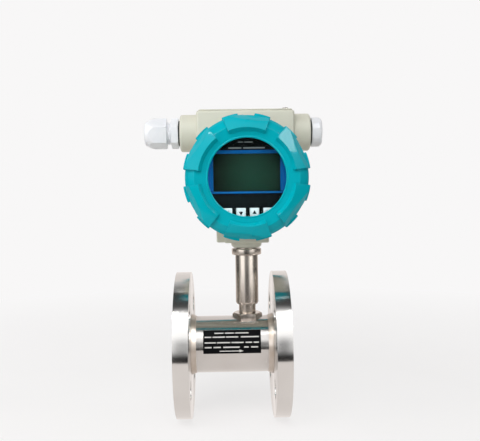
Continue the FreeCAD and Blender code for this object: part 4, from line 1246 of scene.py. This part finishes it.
def makeWorld():
    # white studio seen directly; what steel mirrors has the room's darker walls and windows in it
    look = worldLook
    world = bpy.data.worlds.new("studio")
    bpy.context.scene.world = world
    world.use_nodes = True
    tree = world.node_tree
    tree.nodes.clear()
    way = addNode(tree, "ShaderNodeTexCoord").outputs["Generated"]
    across, depth, height = addNode(tree, "ShaderNodeSeparateXYZ", inputs={0: way}).outputs[:3]
    walls = rampOf(tree, bearingOf(tree, across, depth), roomBands)
    levels = rampOf(tree, bearingOf(tree, height, depth), roomRise)
    # above the walls the room is open all round
    top, fade = look["wallTop"], look["wallFade"]
    above = spread(tree, height, 0.0, 1.0, top - fade, top + fade)
    bearing = mathOf(tree, "ADD", mathOf(tree, "MULTIPLY", walls, mathOf(tree, "SUBTRACT", 1.0, above)),
                     mathOf(tree, "MULTIPLY", above, look["open"]))
    mirrored = mathOf(tree, "MULTIPLY", bearing, levels)
    path = addNode(tree, "ShaderNodeLightPath").outputs
    room = addNode(tree, "ShaderNodeMix", {"data_type": "RGBA"})
    tree.links.new(path["Is Glossy Ray"], room.inputs[0])
    room.inputs[6].default_value = (look["room"], look["room"], look["room"], 1)
    tree.links.new(mirrored, room.inputs[7])
    direct = mathOf(tree, "MAXIMUM", path["Is Camera Ray"], path["Is Transmission Ray"])
    seen = blendColors(tree, direct, room.outputs[2], look["seen"])
    background = addNode(tree, "ShaderNodeBackground", inputs={"Color": seen, "Strength": 1.0})
    addNode(tree, "ShaderNodeOutputWorld", inputs={"Surface": background.outputs[0]})


makeWorld()

# place and aim in mm from the origin, size in mm, power in watts
lampLooks = {"overhead": ((-120, -760, 760), (60, 0, 90), (900, 600), 6.4, False),
             "leftSoft": ((-900, -420, 480), (60, 0, 110), (560, 760), 3.0, False),
             "edges": ((-420, -560, 860), (60, -60, 230), (520, 70), 3.2, True),
             "glint": ((792, -648, 830), (60, -60, 170), (380, 500), 12.0, True)}


def makeLamps():
    for name, (place, aim, size, power, mirrored) in lampLooks.items():
        lamp = bpy.data.lights.new(name, "AREA")
        lamp.shape = "RECTANGLE"
        lamp.size, lamp.size_y = size[0] * mm, size[1] * mm
        lamp.energy = power
        holder = bpy.data.objects.new(name, lamp)
        bpy.context.scene.collection.objects.link(holder)
        holder.location = Vector(place) * mm
        holder.visible_glossy, holder.visible_diffuse = mirrored, not mirrored
        holder.rotation_euler = (Vector(aim) - Vector(place)).to_track_quat("-Z", "Y").to_euler()


makeLamps()

cameraLook = {"place": (52.2, -643.8, 143.6), "down": 2.13, "towardsRight": 1.06, "tilt": 0.78, "lens": 49.93}


def makeCamera():
    look = cameraLook
    data = bpy.data.cameras.new("camera")
    data.lens = look["lens"]
    data.sensor_width = 36.0
    camera = bpy.data.objects.new("camera", data)
    bpy.context.scene.collection.objects.link(camera)
    down, turn, tilt = (math.radians(look[name]) for name in ("down", "towardsRight", "tilt"))
    forward = Vector((math.sin(turn) * math.cos(down), math.cos(turn) * math.cos(down), -math.sin(down)))
    right = Vector((math.cos(turn), -math.sin(turn), 0))
    up = right.cross(forward)
    acrossView = right * math.cos(tilt) - up * math.sin(tilt)
    upView = right * math.sin(tilt) + up * math.cos(tilt)
    camera.matrix_world = (Matrix.Translation(Vector(look["place"]) * mm)
                           @ Matrix((acrossView, upView, -forward)).transposed().to_4x4())
    bpy.context.scene.camera = camera
    data.clip_start = 0.01


makeCamera()
bpy.context.scene.view_settings.view_transform = "Standard"

print("Scene ready")
